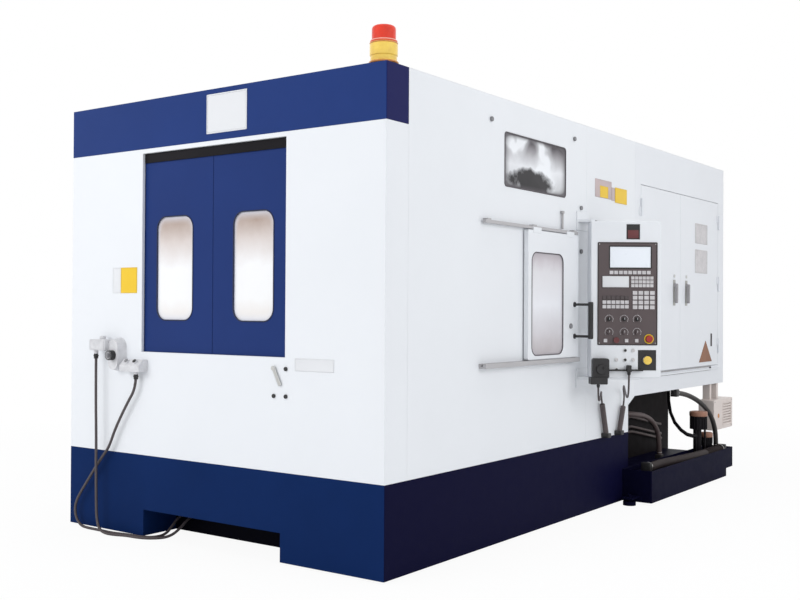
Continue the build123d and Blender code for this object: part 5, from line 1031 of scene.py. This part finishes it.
# oil cooler: a grille frame over its louvres, and corner screws
coolerFace = sideX + 0.020
roundFrame("coolerFrame", (coolerFace + 0.001, 2.445, 0.457), (0.210, 0.196), 0.010, 0.008, 0.004, "side",
           coolerBeige, slotName="cooler_beige")
button("coolerDot", (coolerFace, 2.235, 0.447), toRight, 0.018, 0.004, rimOrange, dish=0.1)
screws("coolerScrews", [(coolerFace + 0.001, y, z) for y in (2.150, 2.560) for z in (0.350, 0.565)], toRight,
       radius=0.005)

# electrical cabinet: keyed escutcheons behind the latches, the bare triangular plate and the strap
for index, (y, body) in enumerate(((1.290, "cabinet_door_a"), (1.540, "cabinet_door_b"))):
    plate(f"latchPlate{index}", (sideX, y - 0.022, 1.360), (sideX + 0.0025, y + 0.022, 1.556), toRight, zincSteel,
          body, "rail_steel", rim=0.003, rounding=0.001)
    button(f"keyLock{index}", (sideX, y, 1.585), toRight, 0.012, 0.006, drawnSteel, body)
triangleSettings = {"radius": 0.1, "thick": 0.0024, "scale": (1.70, 1.147, 1), "middle": (1.975, 0.963)}
triangle = startShape("trianglePlate", "cylinder", vertices=3, radius=triangleSettings["radius"],
                      depth=triangleSettings["thick"], location=(0, 0, 0))
triangle.rotation_euler = (math.pi / 2, 0, math.pi / 2)
triangle.scale = triangleSettings["scale"]
triangle.location = (sideX + triangleSettings["thick"] / 2, *triangleSettings["middle"])
applyPlace(triangle)
applyModifier(triangle, "BEVEL", width=0.010, segments=3, limit_method="ANGLE", affect="VERTICES")
plate("plateStrap", (sideX, 2.096, 1.030), (sideX + 0.005, 2.118, 1.135), toRight, consoleDark, "cabinet_door_b",
      "black_metal", rim=0.003, depth=0.001, rounding=0.0015)
finishPiece(triangle, orangePlate, "cabinet_door_b")
print("cooler and cabinet dressed")

# roof: lifting eyes; left side and back: screws along the panels' edges
roofZ = 2.512
for index, (x, y) in enumerate(((-1.0, -2.05), (1.0, -1.9), (-1.0, 1.9), (0.55, 1.9))):
    button(f"liftBase{index}", (x, y, roofZ), toTop, 0.034, 0.012, zincSteel)
    ring(f"liftEye{index}", (x, y, 2.552), 0.026, 0.008, toRight, zincSteel)
screws("leftScrews", [(-1.192, -2.15 + 0.42 * i, z) for i in range(7) for z in (0.52, 2.46)], toLeft)
screws("backScrews", [(-1.10 + 0.43 * i, 2.405, z) for i in range(5) for z in (0.77, 2.46)], toBack)


def louvre(name, centre, width, rows, way, pitch=0.03):
    # pressed louvres: hooded blades in rows on a bevelled plate
    halfHeight = rows * pitch / 2 + 0.03
    halfWidth = width / 2 + 0.03
    blades = [block(name + "Back", (-halfWidth, -0.003, -halfHeight), (halfWidth, 0.0, halfHeight), 0.002)]
    for row in range(rows):
        z = (row - (rows - 1) / 2) * pitch
        blade = startBlock(name + "Blade", (-width / 2, -0.009, z - pitch * 0.3), (width / 2, -0.002, z + pitch * 0.3))
        activate(blade)
        pickFaces(blade, toFront)
        bpy.ops.transform.resize(value=(0.96, 1, 0.35), center_override=(0, -0.009, z - pitch * 0.28))
        objectMode()
        bevel(blade, 0.0015)
        blades.append(blade)
    obj = joinPieces(blades, name)
    obj.rotation_euler = (0, 0, math.atan2(way[0], -way[1]))
    obj.location = centre
    applyPlace(obj)
    finishPiece(obj, white)


vents = {
    "backVent": {"centre": (-0.35, 2.405, 1.05), "width": 0.60, "rows": 12, "way": toBack},
    "backVentTop": {"centre": (-0.35, 2.405, 2.15), "width": 0.60, "rows": 6, "way": toBack},
    "leftVent": {"centre": (-1.192, 1.60, 1.95), "width": 0.50, "rows": 8, "way": toLeft},
}
makeAll(louvre, vents)
print("roof, back and left side dressed")
